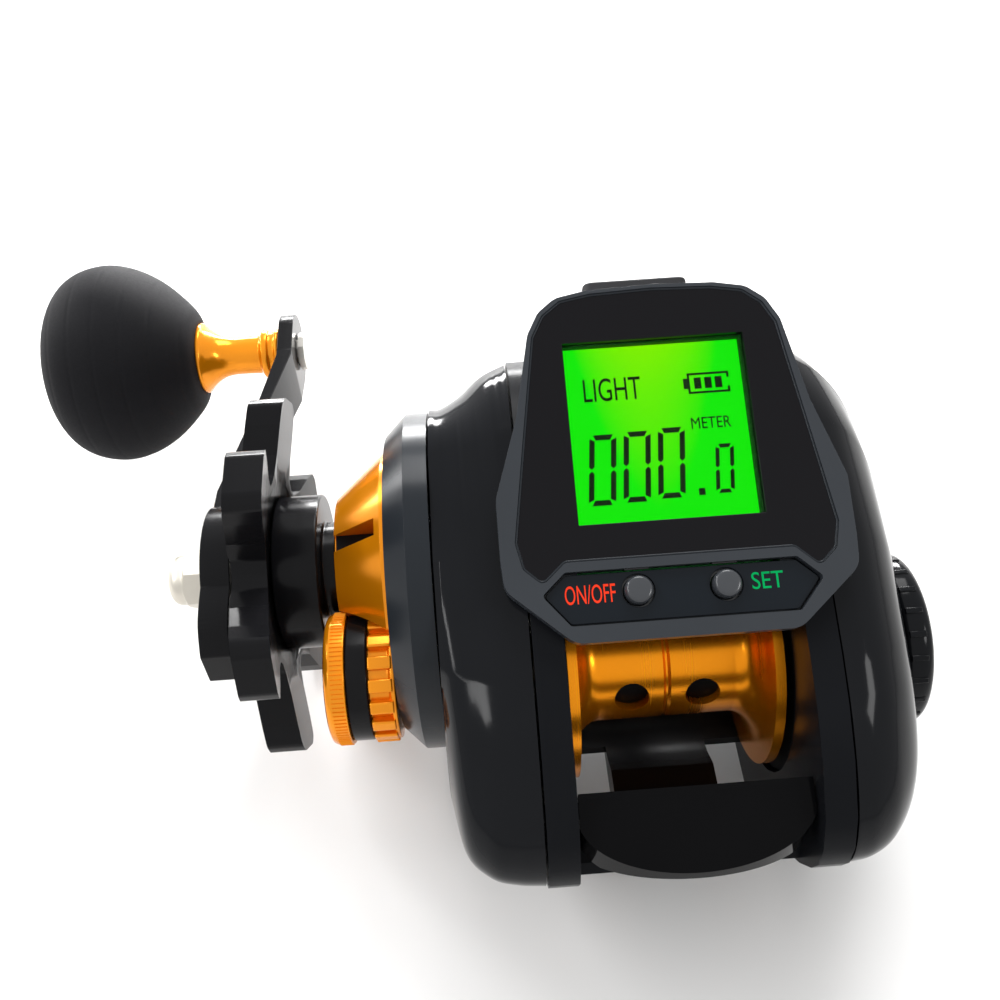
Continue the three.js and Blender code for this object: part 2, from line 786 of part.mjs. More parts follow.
function gearSideCover() {
  const outer = gearCoverLoft(0, 0);
  const cavity = gearCoverLoft(sideWall, cutOver);
  const shell = outer.subtract(cavity);
  const places = gearScrewShares.map(sidePoint);
  const bossRadius = screwHeadRadius + seatGap + screwBossWall;
  const bosses = places.map(([y, z]) => (
    rod(bossRadius, -coverInner, -coverOuter - cutOver, y, z, smallSides).intersect(outer)
  ));
  const holes = places.flatMap(([y, z]) => [
    rod(screwHeadRadius + seatGap, -coverInner - gearScrewSink, -coverOuter - cutOver, y, z, smallSides),
    rod(screwShankRadius + seatGap, -coverInner + cutOver, -coverOuter, y, z, tinySides),
  ]);
  return cut(joined([shell, ...bosses]), ...holes);
}

function coverScrew(side, sink, [y, z]) {
  const seat = coverInner + sink;
  const shankEnd = plateOuter - plateThickness / 2 + seatGap;
  return joined([
    rod(screwShankRadius, side * shankEnd, side * (seat + seatGap), y, z, tinySides),
    rod(screwHeadRadius, side * (seat + seatGap), side * (seat + seatGap + screwHeadDepth), y, z, smallSides),
  ]);
}

// Gearbox cap: a dished disc with a chamfered edge, a bearing boss inside and a threaded boss outside
function gearboxCap() {
  const recess = capRadius - capSeatWidth;
  const body = turned([
    [0, -capOuter], [capRadius - capChamfer, -capOuter], [capRadius, -capOuter + capChamfer],
    [capRadius, -capInner], [recess, -capInner], [recess, -capOuter + capWall], [0, -capOuter + capWall],
  ], fineSides).translate([0, capForward, capHeight]);
  const bearingBoss = rod(rollerBearingRadius + seatGap + bossWall, -rollerStart, -capOuter + capWall / 2,
    driveForward, driveHeight);
  const knobBoss = rod(knobBossRadius, -capOuter + capWall / 2, -knobBossEnd, 0, spoolAxisHeight);
  const bearingSeat = rod(rollerBearingRadius + seatGap, -rollerStart + cutOver, -rollerEnd,
    driveForward, driveHeight);
  const shaftHole = rod(driveShaftRadius + runGap, -rollerStart, -capOuter - cutOver, driveForward, driveHeight);
  const spoolHole = rod(pinionRoomRadius, -capInner, -capOuter - seatGap, 0, spoolAxisHeight);
  const spoolSeat = rod(spoolBearingRadius + seatGap, -capOuter, -knobBossEnd - cutOver, 0, spoolAxisHeight);
  return cut(joined([body, bearingBoss, knobBoss]), bearingSeat, shaftHole, spoolHole, spoolSeat);
}

// Drive bushing: a cone scalloped where the cast control knob stands
function driveBushing() {
  const cone = turned([
    [0, -coneStart], [coneBaseRadius, -coneStart], [coneBaseRadius, -coneStart - coneRimWidth],
    [coneTipRadius, -coneEnd], [0, -coneEnd],
  ], fineSides);
  const scallop = rod(tensionRadius + runGap, -coneStart + cutOver, -coneEnd - cutOver, -driveForward, -driveRise);
  const bore = rod(driveShaftRadius + runGap, -coneStart + cutOver, -coneEnd - cutOver);
  return cut(cone, scallop, bore);
}

// Spool: a thin flared drum on a web and hub, with two rows of round holes
function spoolProfile() {
  const hub = spoolShaftRadius + seatGap;
  const hubEnd = spoolHalfWidth + spoolHubReach;
  const inner = arborRadius - arborWall;
  const flangeInner = spoolHalfWidth - flangeThickness;
  const flare = (side, rise, reach) => Array.from({ length: flareSteps }, (_, k) => {
    const angle = Math.PI / 2 * (k + 1) / (flareSteps + 1);
    const across = rise[0] + (rise[1] - rise[0]) * (1 - Math.cos(angle));
    return [across, side * (reach[0] + (reach[1] - reach[0]) * Math.sin(angle))];
  });
  const flareTop = arborRadius + (flangeInner - arborHalf) * flareRiseShare;
  const outerLeft = flare(-1, [arborRadius, flareTop], [arborHalf, flangeInner]).reverse();
  const outerRight = flare(1, [arborRadius, flareTop], [arborHalf, flangeInner]);
  return [
    [hub, -hubEnd], [spoolHubRadius, -hubEnd], [spoolHubRadius, -webHalf], [inner, -webHalf],
    [inner, -arborHalf], [flareTop - flangeThickness, -spoolHalfWidth], [flangeRadius, -spoolHalfWidth],
    [flangeRadius, -flangeInner], [flareTop, -flangeInner], ...outerLeft, [arborRadius, -arborHalf],
    [arborRadius, -spoolGrooveHalf], [arborRadius - spoolGrooveDepth, 0], [arborRadius, spoolGrooveHalf],
    [arborRadius, arborHalf], ...outerRight, [flareTop, flangeInner],
    [flangeRadius, flangeInner], [flangeRadius, spoolHalfWidth], [flareTop - flangeThickness, spoolHalfWidth],
    [inner, arborHalf], [inner, webHalf], [spoolHubRadius, webHalf],
    [spoolHubRadius, spoolHalfWidth], [hub, spoolHalfWidth], [hub, -hubEnd],
  ];
}

function spoolBody() {
  const holes = [];
  for (const side of [-1, 1]) {
    for (let k = 0; k < spoolHoleCount; k += 1) {
      const hole = new THREE.CylinderGeometry(spoolHoleRadius, spoolHoleRadius, arborWall * 4, tinySides);
      hole.translate(0, arborRadius, 0);
      hole.rotateX(2 * Math.PI * (k + spoolHoleTurnShare) / spoolHoleCount);
      hole.translate(side * spoolHoleOffset, 0, 0);
      holes.push(solidOf(hole));
    }
  }
  return cut(turned(spoolProfile()), ...holes);
}

function pinion() {
  const moduleSize = 2 * driveOffset / (driveTeeth + pinionTeeth);
  const teeth = plate(
    toothed(pinionTeeth, pinionTeeth * moduleSize / 2, gearAddendum * moduleSize, gearDedendum * moduleSize,
      driveBearing + Math.PI / pinionTeeth),
    -pinionTeethStart, -pinionTeethEnd,
  );
  const stemStart = -spoolHalfWidth - spoolHubReach - seatGap;
  const stem = joined([
    rod(pinionStemRadius, stemStart, -yokeStart + seatGap, 0, 0, smallSides),
    rod(pinionGrooveRadius, stemStart, -pinionTeethStart - seatGap, 0, 0, smallSides),
  ]);
  const bore = rod(spoolShaftRadius + seatGap, -plateInner + cutOver, -pinionTeethEnd - cutOver, 0, 0, tinySides);
  return cut(joined([teeth, stem]), bore);
}

function driveGear() {
  const moduleSize = 2 * driveOffset / (driveTeeth + pinionTeeth);
  const teeth = plate(
    toothed(driveTeeth, driveTeeth * moduleSize / 2, gearAddendum * moduleSize, gearDedendum * moduleSize,
      driveBearing + Math.PI),
    -driveGearStart, -driveGearEnd,
  );
  const cup = rod(driveCupRadius, -washerStart, -driveGearEnd - cutOver);
  const bore = rod(driveShaftRadius + seatGap, -driveGearStart + cutOver, -driveGearEnd - cutOver);
  return cut(teeth, cup, bore);
}

function driveShaft() {
  return turned([
    [0, -plateInner - flangeRecessDepth - seatGap], [driveStubRadius, -plateInner - flangeRecessDepth - seatGap],
    [driveStubRadius, -driveFlangeStart], [driveFlangeRadius, -driveFlangeStart],
    [driveFlangeRadius, -driveFlangeEnd], [driveShaftRadius, -driveFlangeEnd], [driveShaftRadius, -hubEnd],
    [driveThreadRadius, -hubEnd], [driveThreadRadius, -nutEnd + nutDomeLength], [0, -nutEnd + nutDomeLength],
  ], turnedSides);
}

// Collar between the bushing and the star, with a narrow neck beside the cast control knob
function dragCollar() {
  const bore = driveShaftRadius + seatGap;
  return turned([
    [bore, -collarStart], [collarNeckRadius, -collarStart], [collarNeckRadius, -collarShoulder],
    [collarRadius - seatGap, -collarShoulder], [collarRadius, -collarShoulder - seatGap],
    [collarRadius, -collarEnd], [bore, -collarEnd], [bore, -collarStart],
  ]);
}

// Star drag wheel with rounded lobes
function starDrag() {
  const points = [];
  for (let lobe = 0; lobe < starLobes; lobe += 1) {
    for (const [turnShare, reachShare] of starLobeShares) {
      const angle = (lobe + turnShare + starTurn) * 2 * Math.PI / starLobes;
      points.push([starRadius * reachShare * Math.cos(angle), starRadius * reachShare * Math.sin(angle)]);
    }
  }
  const wheel = plate(points, -collarEnd, -starEnd);
  const dish = turned([
    [0, -starEnd + starDish], [collarRadius, -starEnd + starDish], [starRadius * starDishShare, -starEnd - cutOver / 2],
    [0, -starEnd - cutOver / 2],
  ]);
  const bore = rod(driveShaftRadius + seatGap, -collarEnd + cutOver, -starEnd - cutOver, 0, 0, smallSides);
  const rootRadius = starRadius * starRootShare;
  const root = rod(rootRadius, -collarEnd + cutOver, -starEnd - cutOver);
  const hub = rod(rootRadius + runGap, -collarEnd + cutOver, -starEnd - cutOver);
  const lobes = cut(wheel, dish, root).warp((point) => {
    const share = Math.hypot(point[1], point[2]) / starRadius;
    point[0] += starLean * (share - starRootShare) / (1 - starRootShare);
  });
  return cut(wheel.intersect(hub), dish, bore).add(lobes);
}

// Crank arm: its side view gives the sweep, its plan gives the width
function armSide() {
  const clear = starRadius + runGap;
  const tipReach = armLength + armEndRadius;
  const fall = armLength * armFallShare;
  return [
    [-tailReach, -hubEnd], [hubRadius, -hubEnd], [fall, -armTipEnd], [tipReach, -armTipEnd],
    [tipReach, -armTipStart], [fall, -armTipStart], [clear, -hubStart], [-tailReach, -hubStart],
  ];
}

function armPlan() {
  const reach = (share) => share * (share < 0 ? tailReach : armLength);
  const lower = armPlanShares.map(([s, w]) => [reach(s), -w * armPlanHalf]);
  const end = [];
  for (let k = 0; k <= armEndSteps; k += 1) {
    const angle = -Math.PI / 2 + Math.PI * k / armEndSteps;
    end.push([armLength + armEndRadius * Math.cos(angle), armEndRadius * Math.sin(angle)]);
  }
  return [...lower, ...end, ...lower.map(([s, w]) => [s, -w]).reverse()];
}

function handleArm() {
  const outer = -hubEnd - cutOver;
  const inner = -armTipStart + cutOver;
  const plan = joined([plate(armPlan(), outer, inner), rod(hubRadius, outer, inner)]);
  const shape = new THREE.Shape(armSide().map(([s, x]) => new THREE.Vector2(x, s)));
  const profile = new THREE.ExtrudeGeometry(shape, { depth: armPlanHalf * 4, bevelEnabled: false });
  profile.translate(0, 0, -armPlanHalf * 2);
  const arm = solidOf(profile).intersect(plan);
  const shaftHole = rod(driveShaftRadius + seatGap, -hubStart + cutOver, outer, 0, 0, smallSides);
  const knobHole = rod(spindleRadius + seatGap, inner, outer, armLength, 0, smallSides);
  return cut(arm, shaftHole, knobHole);
}

function nutRetainer() {
  const ears = joined([
    rod(nutHexRadius + retainerThickness, -hubEnd, -nutStart, 0, 0, smallSides),
    rod(nutHexRadius - retainerThickness, -hubEnd, -nutStart, 0, retainerRadius - nutHexRadius / 2, smallSides),
    rod(nutHexRadius - retainerThickness, -hubEnd, -nutStart, 0, nutHexRadius / 2 - retainerRadius, smallSides),
  ]);
  return cut(ears, rod(driveThreadRadius + seatGap, -hubEnd + cutOver, -nutStart - cutOver, 0, 0, smallSides));
}

function handleNut() {
  const hex = rod(nutHexRadius, -nutStart, -nutStart - nutHexLength, 0, 0, hexSides);
  const [baseRadius, shoulderRadius, topRadius] = nutDomeShares.map((share) => nutHexRadius * share);
  const dome = turned([
    [0, -nutStart - nutHexLength + seatGap], [baseRadius, -nutStart - nutHexLength + seatGap],
    [baseRadius, -nutStart - nutHexLength], [shoulderRadius, -nutEnd + nutDomeLength / 3],
    [topRadius, -nutEnd], [0, -nutEnd],
  ], smallSides);
  const bore = rod(driveThreadRadius + seatGap, -nutStart + cutOver, -nutStart - nutHexLength - seatGap, 0, 0, smallSides);
  return cut(joined([hex, dome]), bore);
}

// Knob on its spindle, about the arm's outer hole
function knobSpindle() {
  const tip = neckStart + neckLength + neckSleeveLength;
  return turned([
    [0, -armTipStart + spindleHeadThickness + seatGap],
    [spindleHeadRadius, -armTipStart + spindleHeadThickness + seatGap],
    [spindleHeadRadius, -armTipStart + seatGap], [spindleRadius, -armTipStart + seatGap],
    [spindleRadius, -tip - seatGap], [spindleHeadRadius, -tip - seatGap],
    [spindleHeadRadius, -tip - seatGap - spindleHeadThickness], [0, -tip - seatGap - spindleHeadThickness],
  ], smallSides);
}

function knobNeck() {
  const bore = spindleRadius + seatGap;
  const ringEnd = neckStart + neckRingWidth;
  const flareStart = knobStart - neckRingWidth;
  const sleeveEnd = knobStart + neckSleeveLength;
  return turned([
    [bore, -neckStart], [neckRingRadius, -neckStart], [neckRingRadius, -ringEnd],
    [neckWaistRadius, -ringEnd - seatGap], [neckWaistRadius, -flareStart + neckRingWidth / 2],
    [neckWaistRadius * neckSwellShare, -flareStart], [neckFlareRadius, -knobStart + seatGap],
    [neckFlareRadius, -knobStart], [neckSleeveRadius, -knobStart],
    [neckSleeveRadius, -sleeveEnd], [bore, -sleeveEnd], [bore, -neckStart],
  ], turnedSides);
}

function handleKnob() {
  const bore = neckSleeveRadius + seatGap;
  const boreEnd = knobStart + neckSleeveLength + spindleHeadThickness + 3 * seatGap;
  const outer = knobProfileShares.map(([along, across]) => [knobRadius * across, -knobStart - knobLength * along]);
  return turned([[bore, -knobStart], ...outer, [0, -knobEnd], [0, -boreEnd], [bore, -boreEnd], [bore, -knobStart]]);
}

// Cast control knob: toothed ring, plain body and domed cap
function tensionRing() {
  const rim = plate(
    toothed(tensionTeeth, tensionRadius - tensionToothDepth, tensionToothDepth, 0, 0, gripToothShares),
    -tensionStart, -tensionRingEnd,
  );
  return rim.subtract(rod(knobBossRadius + seatGap, -tensionStart + cutOver, -tensionRingEnd - cutOver));
}

function tensionBody() {
  const bore = knobBossRadius + seatGap;
  const floor = tensionBodyEnd - tensionFloor;
  return turned([
    [bore, -tensionRingEnd], [tensionBodyRadius, -tensionRingEnd], [tensionBodyRadius, -tensionBodyEnd],
    [0, -tensionBodyEnd], [0, -floor], [bore, -floor], [bore, -tensionRingEnd],
  ]);
}

function tensionCap() {
  return turned([
    [0, -tensionBodyEnd], [tensionRadius, -tensionBodyEnd], [tensionRadius, -tensionEnd + tensionCapCrown],
    [tensionRadius - tensionCapCrown, -tensionEnd], [0, -tensionEnd],
  ], fineSides);
}

// Yoke that lifts the pinion out of the spool, and the cam ring that pushes it
function clutchYoke() {
  const slot = pinionGrooveRadius + seatGap;
  const body = block(-yokeEnd, -yokeStart, -yokeWidth / 2, yokeWidth / 2 - seatGap, -yokeHeight / 2, yokeHeight / 2);
  const mouth = block(-yokeEnd - cutOver, -yokeStart + cutOver, 0, yokeWidth, -slot, slot);
  return cut(body, rod(slot, -yokeStart + cutOver, -yokeEnd - cutOver, 0, 0, smallSides), mouth);
}

function clutchCam() {
  const ring = tube(camRadius, camBore, -camStart, -camEnd);
  const [tabRear, tabFront, tabBottom] = thumbTab();
  const armTop = tabBottom - spoolAxisHeight - seatGap;
  const arm = block(-camEnd, -camStart, tabRear, -camBore - seatGap, armTop - 2 * camArmHalf, armTop);
  return joined([ring, arm]);
}

// Thumb bar: a curved rest with a tab through the gear side plate
const thumbTab = () => [
  -thumbFrontY - thumbTabDepth, -thumbFrontY,
  spoolAxisHeight + thumbTopZ - thumbThickness - thumbTabHeight / 2, spoolAxisHeight + thumbTopZ - thumbThickness / 2,
];

function thumbBar() {
  const [[bendBack, bendDown], [underBack, underDown]] = thumbSideShares;
  const edgeDown = thumbEdgeDropShare;
  const half = plateInner - seatGap;
  const rear = thumbFrontY + thumbReach;
  const top = spoolAxisHeight + thumbTopZ;
  const low = top - thumbDrop;
  const side = plate([
    [-thumbFrontY, top - thumbThickness], [-thumbFrontY, top - seatGap], [-thumbFrontY - seatGap, top],
    [-thumbFrontY - thumbReach * bendBack, top - thumbDrop * bendDown], [-rear, low],
    [-rear, low - thumbThickness * edgeDown], [-rear + thumbReach * underBack, low - thumbThickness * underDown],
  ], -half, half);
  const plan = [[half, -thumbFrontY + cutOver], [-half, -thumbFrontY + cutOver]];
  for (let k = 0; k <= thumbPlanSteps; k += 1) {
    const across = -1 + 2 * k / thumbPlanSteps;
    const shareBack = thumbEdgeShare + (1 - thumbEdgeShare) * Math.sqrt(1 - thumbCurveShare * across * across);
    plan.push([half * across, -thumbFrontY - thumbReach * shareBack]);
  }
  const bar = side.intersect(slab(plan, low - thumbThickness * 2, top + cutOver));
  const [tabRear, tabFront, tabBottom, tabTop] = thumbTab();
  return bar.add(block(-coverInner + seatGap - camThickness - runGap, -half + cutOver, tabRear, tabFront, tabBottom, tabTop));
}

// Level wind: worm shaft, its gear, the line guide and its pawl
function wormShaft() {
  return turned([
    [0, -levelGearEnd - seatGap], [wormJournalRadius, -levelGearEnd - seatGap],
    [wormJournalRadius, -plateInner + seatGap], [wormRadius, -plateInner + seatGap],
    [wormRadius, plateInner - seatGap], [wormJournalRadius, plateInner - seatGap],
    [wormJournalRadius, plateOuter], [0, plateOuter],
  ], smallSides);
}

const levelModule = () => 2 * levelOffset / (levelTeeth + wormTeeth);

function levelGear(teeth, bore, turn) {
  const size = levelModule();
  const outline = toothed(teeth, teeth * size / 2, levelAddendum * size, levelDedendum * size, turn);
  const gear = plate(outline, -levelGearStart, -levelGearEnd);
  return gear.subtract(rod(bore, -levelGearStart + cutOver, -levelGearEnd - cutOver, 0, 0, smallSides));
}

function lineGuide() {
  const blockFront = guideBlockDepth / 2 + seatGap;
  const plateRear = guideRodForward - wormForward - guidePlateThickness / 2;
  const rodUp = guideRodHeight - wormHeight;
  const body = joined([
    block(-guideHalf, guideHalf, -guideBlockDepth / 2, blockFront, -guideBlockHeight / 2, guideBlockHeight / 2),
    block(-guideHalf, guideHalf, plateRear, plateRear + guidePlateThickness, -guideBlockHeight / 2,
      rodUp + guideRodRadius + 2 * seatGap + insertWall),
  ]);
  const eyeWall = insertWall + seatGap;
  const eyeBase = guideBlockHeight / 2 + eyeBottom;
  return cut(
    body,
    rod(wormRadius + seatGap, -guideHalf - cutOver, guideHalf + cutOver, 0, 0, smallSides),
    rod(guideRodRadius + seatGap, -guideHalf - cutOver, guideHalf + cutOver, guideRodForward - wormForward, rodUp, tinySides),
    block(-eyeHalf - eyeWall, eyeHalf + eyeWall, plateRear - cutOver, plateRear + guidePlateThickness + cutOver,
      eyeBase - eyeWall, guideBlockHeight / 2 + eyeTop - eyeWall),
    pawlSeat(),
  );
}

// The eye's hard lining, a rectangular ring in the guide's slot
function guideInsert() {
  const plateRear = guideRodForward - wormForward - guidePlateThickness / 2;
  const eyeBase = guideBlockHeight / 2 + eyeBottom;
  const eyeCeiling = guideBlockHeight / 2 + eyeTop - 2 * insertWall - 2 * seatGap;
  const outer = block(-eyeHalf - insertWall, eyeHalf + insertWall, plateRear, plateRear + guidePlateThickness,
    eyeBase - insertWall, eyeCeiling + insertWall);
  return outer.subtract(block(-eyeHalf, eyeHalf, plateRear - cutOver, plateRear + guidePlateThickness + cutOver,
    eyeBase, eyeCeiling));
}

function pawlPin(radius, from, to) {
  const geometry = new THREE.CylinderGeometry(radius, radius, to - from, tinySides);
  geometry.rotateX(Math.PI / 2);
  geometry.translate(0, 0, (from + to) / 2);
  return solidOf(geometry);
}

const pawlSeat = () => pawlPin(pawlRadius + seatGap, -guideBlockHeight / 2 - cutOver, -wormRadius);

const pawl = () => pawlPin(pawlRadius, -guideBlockHeight / 2, -wormRadius - seatGap);

// Palm side cover, brake plate, magnets and dial
function palmLoft(wall) {
  const outline = inset(sideOutline(), seatGap);
  const centreZ = spoolAxisHeight + palmCentreRise;
  const rings = palmRingShares.map(([depthShare, sizeShare]) => {
    const ring = inset(scaledOutline(outline, sizeShare, palmCentreForward, centreZ), wall);
    return ringAt(palmInner + depthShare * (palmCoverDepth - wall), ring);
  });
  if (wall) rings.unshift(ringAt(palmInner - cutOver, inset(outline, wall)));
  return loft(rings);
}

function palmSideCover() {
  const outer = palmLoft(0);
  const shell = outer.subtract(palmLoft(sideWall));
  const [y, z] = sidePoint(palmScrewShare);
  const bossRadius = screwHeadRadius + seatGap + screwBossWall;
  const boss = rod(bossRadius, palmInner, palmOuter + cutOver, y, z, smallSides).intersect(outer);
  return cut(
    shell.add(boss),
    rod(screwHeadRadius + seatGap, palmInner + palmScrewSink, palmOuter + cutOver, y, z, smallSides),
    rod(screwShankRadius + seatGap, palmInner - cutOver, palmOuter, y, z, tinySides),
    rod(dialStemRadius + seatGap, palmOuter - 2 * sideWall, palmOuter + cutOver, 0, spoolAxisHeight, smallSides),
  );
}

function brakePlate() {
  const shaft = spoolShaftRadius + seatGap;
  const seat = spoolBearingRadius + seatGap;
  const web = brakeInner + brakePlateWall;
  const rim = brakePlateRadius - brakeRimWall;
  return turned([
    [shaft, brakeInner], [brakePlateRadius, brakeInner], [brakePlateRadius, brakeOuter], [rim, brakeOuter],
    [rim, web], [brakeBossRadius, web], [brakeBossRadius, brakeOuter], [seat, brakeOuter], [seat, web],
    [shaft, web], [shaft, brakeInner],
  ], fineSides);
}

function magnetCarrier() {
  const start = brakeInner + brakePlateWall + magnetTravel + seatGap;
  const ring = tube(magnetOuter, magnetInner, start, start + magnetThickness);
  return ring;
}

function brakeDial() {
  const grips = plate(
    toothed(dialGrips, dialRadius - dialGripDepth, dialGripDepth, 0, 0, gripToothShares),
    dialInner, dialOuter - dialGripDepth,
  );
  const face = rod(dialRadius - 2 * dialGripDepth, dialOuter - 2 * dialGripDepth, dialOuter, 0, 0, fineSides);
  const magnetEnd = brakeInner + brakePlateWall + magnetTravel + seatGap + magnetThickness;
  const stem = rod(dialStemRadius, plateOuter + runGap, dialInner + seatGap, 0, 0, smallSides);
  const crossEnd = plateOuter + runGap + 2 * brakePlateWall;
  const spider = rod(magnetInner + runGap * 2, plateOuter + runGap, crossEnd, 0, 0, smallSides);
  const pin = rod(screwShankRadius, magnetEnd + seatGap, crossEnd, magnetInner, 0, tinySides);
  return joined([grips, face, stem, spider, pin]);
}

// Display shapes, in the display's own frame: X across, Y up its face, Z out of it
const displayPoint = ([across, along]) => [across * glassHalfWidth, along * glassHalfWidth];

function toDisplay([y, z]) {
  const dy = y - displayForward;
  const dz = z - displayHeight;
  return [
    dy * Math.cos(displayTilt) + dz * Math.sin(displayTilt),
    -dy * Math.sin(displayTilt) + dz * Math.cos(displayTilt),
  ];
}

function displaySlab(shares, grow, from, to) {
  const half = shares.map(displayPoint);
  const points = mirrored(half).reverse();
  return slab(inset(points, -grow), from, to);
}

function displayHousing() {
  const blank = displaySlab(housingOutlineShares, 0, -housingDepth, 0);
  const saddle = saddleShares.map(sidePoint).map(([y, z]) => [y, z + seatGap]);
  const [first, second] = saddle;
  const slope = (second[1] - first[1]) / (second[0] - first[0]);
  const lead = [first[0] - cutOver * 3, first[1] - slope * cutOver * 3];
  const front = housingFrontShares.map(sidePoint);
  const roof = displayHeight + housingDepth;
  const wide = [lead, ...saddle, ...front, [bodyLength, roof], [lead[0], roof]];
  const belly = [...bellyShares.map(sidePoint), front[1], [bodyLength, roof], [lead[0] + cutOver, roof]];
  const reach = glassHalfWidth + cutOver * 2;
  const region = joined([
    plate(wide.map(toDisplay), -reach, reach),
    plate(belly.map(toDisplay), -bellyHalf, bellyHalf),
  ]);
  const body = blank.intersect(region);
  return cut(
    body,
    displaySlab(glassOutlineShares, seatGap, -glassSink - glassThickness - seatGap, cutOver),
    displaySlab(panelOutlineShares, seatGap, -panelSink - panelThickness - seatGap, cutOver),
    block(-cavityHalf, cavityHalf, -cavityRear, cavityFront, -cavityDepth, 0),
    block(-cavityHalf, cavityHalf, -ledgeRear, 0, -ledgeDepth, -panelSink - panelThickness),
    portRecess(),
    block(jackOffset - jackWidth / 2 - seatGap, jackOffset + jackWidth / 2 + seatGap, 0,
      cavityFront + jackLength / 2, -jackDepth - jackHeight / 2 - seatGap, -glassSink - glassThickness),
    jackRod(jackBore + seatGap, cavityFront, glassHalfWidth + cutOver),
  );
}

// A round bar along the display's Y at the charging jack
function jackRod(radius, from, to) {
  const geometry = new THREE.CylinderGeometry(radius, radius, to - from, tinySides);
  geometry.translate(jackOffset, (from + to) / 2, -jackDepth);
  return solidOf(geometry);
}

const displayGlass = () => displaySlab(glassOutlineShares, 0, -glassSink - glassThickness, -glassSink);

function lcdPanel() {
  const half = Math.min(cavityHalf - seatGap, lcdWidth / 2 + insertWall);
  return block(-half, half, -lcdHeight / 2 - insertWall, lcdHeight / 2 + insertWall,
    -lcdDepth - lcdThickness, -lcdDepth);
}

function buttonPanel() {
  const sheet = displaySlab(panelOutlineShares, 0, -panelSink - panelThickness, -panelSink);
  const holes = [-1, 1].map((side) => pillar(buttonRadius + seatGap, -panelSink - panelThickness - cutOver, cutOver,
    side * buttonSpacing / 2, -buttonRear));
  return cut(sheet, ...holes);
}

// A round bar along the display's Z
function pillar(radius, from, to, x, y, sides = smallSides) {
  const geometry = new THREE.CylinderGeometry(radius, radius, to - from, sides);
  geometry.rotateX(Math.PI / 2);
  geometry.translate(x, y, (from + to) / 2);
  return solidOf(geometry);
}

function button(side) {
  const x = side * buttonSpacing / 2;
  const flangeTop = -panelSink - panelThickness - buttonTravel / 2;
  const lathe = new THREE.LatheGeometry([
    [0, flangeTop - buttonFlangeThickness], [buttonFlangeRadius, flangeTop - buttonFlangeThickness],
    [buttonFlangeRadius, flangeTop], [buttonRadius, flangeTop], [buttonRadius, buttonRise - buttonCrown],
    [buttonRadius * buttonTopShare, buttonRise - buttonCrown / 4], [0, buttonRise],
  ].map(([r, z]) => new THREE.Vector2(r, z)), smallSides);
  lathe.rotateX(Math.PI / 2);
  lathe.translate(x, -buttonRear, 0);
  return solidOf(lathe);
}

const circuitBoard = () => block(-boardWidth / 2, boardWidth / 2, -boardRear, boardFront,
  -boardDepth - boardThickness, -boardDepth);

function battery() {
  const top = -boardDepth - boardThickness - 2 * seatGap;
  return block(-batteryWidth / 2, batteryWidth / 2, -cavityRear + 2 * seatGap, -cavityRear + 2 * seatGap + batteryLength,
    Math.max(top - batteryThickness, -cavityDepth + seatGap), top);
}

function chargeJack() {
  const body = block(jackOffset - jackWidth / 2, jackOffset + jackWidth / 2, boardFront + 2 * seatGap,
    cavityFront + jackLength / 2 - seatGap, -jackDepth - jackHeight / 2, -jackDepth + jackHeight / 2);
  return body.subtract(jackRod(jackBore, cavityFront, glassHalfWidth));
}

function portRecess() {
  const half = portCoverWidth / 2 + seatGap;
  return block(jackOffset - half, jackOffset + half, portCoverEnd - portCoverThickness - seatGap,
    portCoverEnd + cutOver, -portCoverTop - portCoverHeight - seatGap, -portCoverTop + seatGap);
}

function chargePortCover() {
  const back = portCoverEnd - portCoverThickness;
  const lid = block(jackOffset - portCoverWidth / 2, jackOffset + portCoverWidth / 2, back, portCoverEnd,
    -portCoverTop - portCoverHeight, -portCoverTop);
  return lid.add(jackRod(portPlugRadius, back - portPlugLength, back + seatGap));
}

// Assembly
const reel = new THREE.Group();

const spoolLine = new THREE.Group();
spoolLine.position.set(0, 0, spoolAxisHeight);
reel.add(spoolLine);

const driveLine = new THREE.Group();
driveLine.position.set(0, driveForward, driveHeight);
reel.add(driveLine);

const crank = new THREE.Group();
crank.rotation.x = armTilt;
driveLine.add(crank);

const knobLine = new THREE.Group();
knobLine.position.set(0, armLength, 0);
crank.add(knobLine);

const wormLine = new THREE.Group();
wormLine.position.set(0, wormForward, wormHeight);
reel.add(wormLine);

const display = new THREE.Group();
display.position.set(0, displayForward, displayHeight);
display.rotation.x = displayTilt;
reel.add(display);

addPart(reel, 'frame', frame(), glossBlack);
addPart(reel, 'reel_foot', reelFoot(), blackAlloy);
footScrewPlaces().forEach((y, k) => addPart(reel, `foot_screw_${k + 1}`, footScrew(y), steel));
addPart(reel, 'gear_side_cover', gearSideCover(), glossBlack);
addPart(reel, 'gearbox_cap', gearboxCap(), capGrey);
gearScrewShares.forEach((share, k) => (
  addPart(reel, `gear_cover_screw_${k + 1}`, coverScrew(-1, gearScrewSink, sidePoint(share)), steel)
));
addPart(reel, 'palm_side_cover', palmSideCover(), glossBlack);
addPart(reel, 'palm_cover_screw', coverScrew(1, palmScrewSink, sidePoint(palmScrewShare)), steel);
addPart(reel, 'guide_rod', rod(guideRodRadius, -rodSeat() + seatGap, rodSeat() - seatGap,
  guideRodForward, guideRodHeight, tinySides), steel);

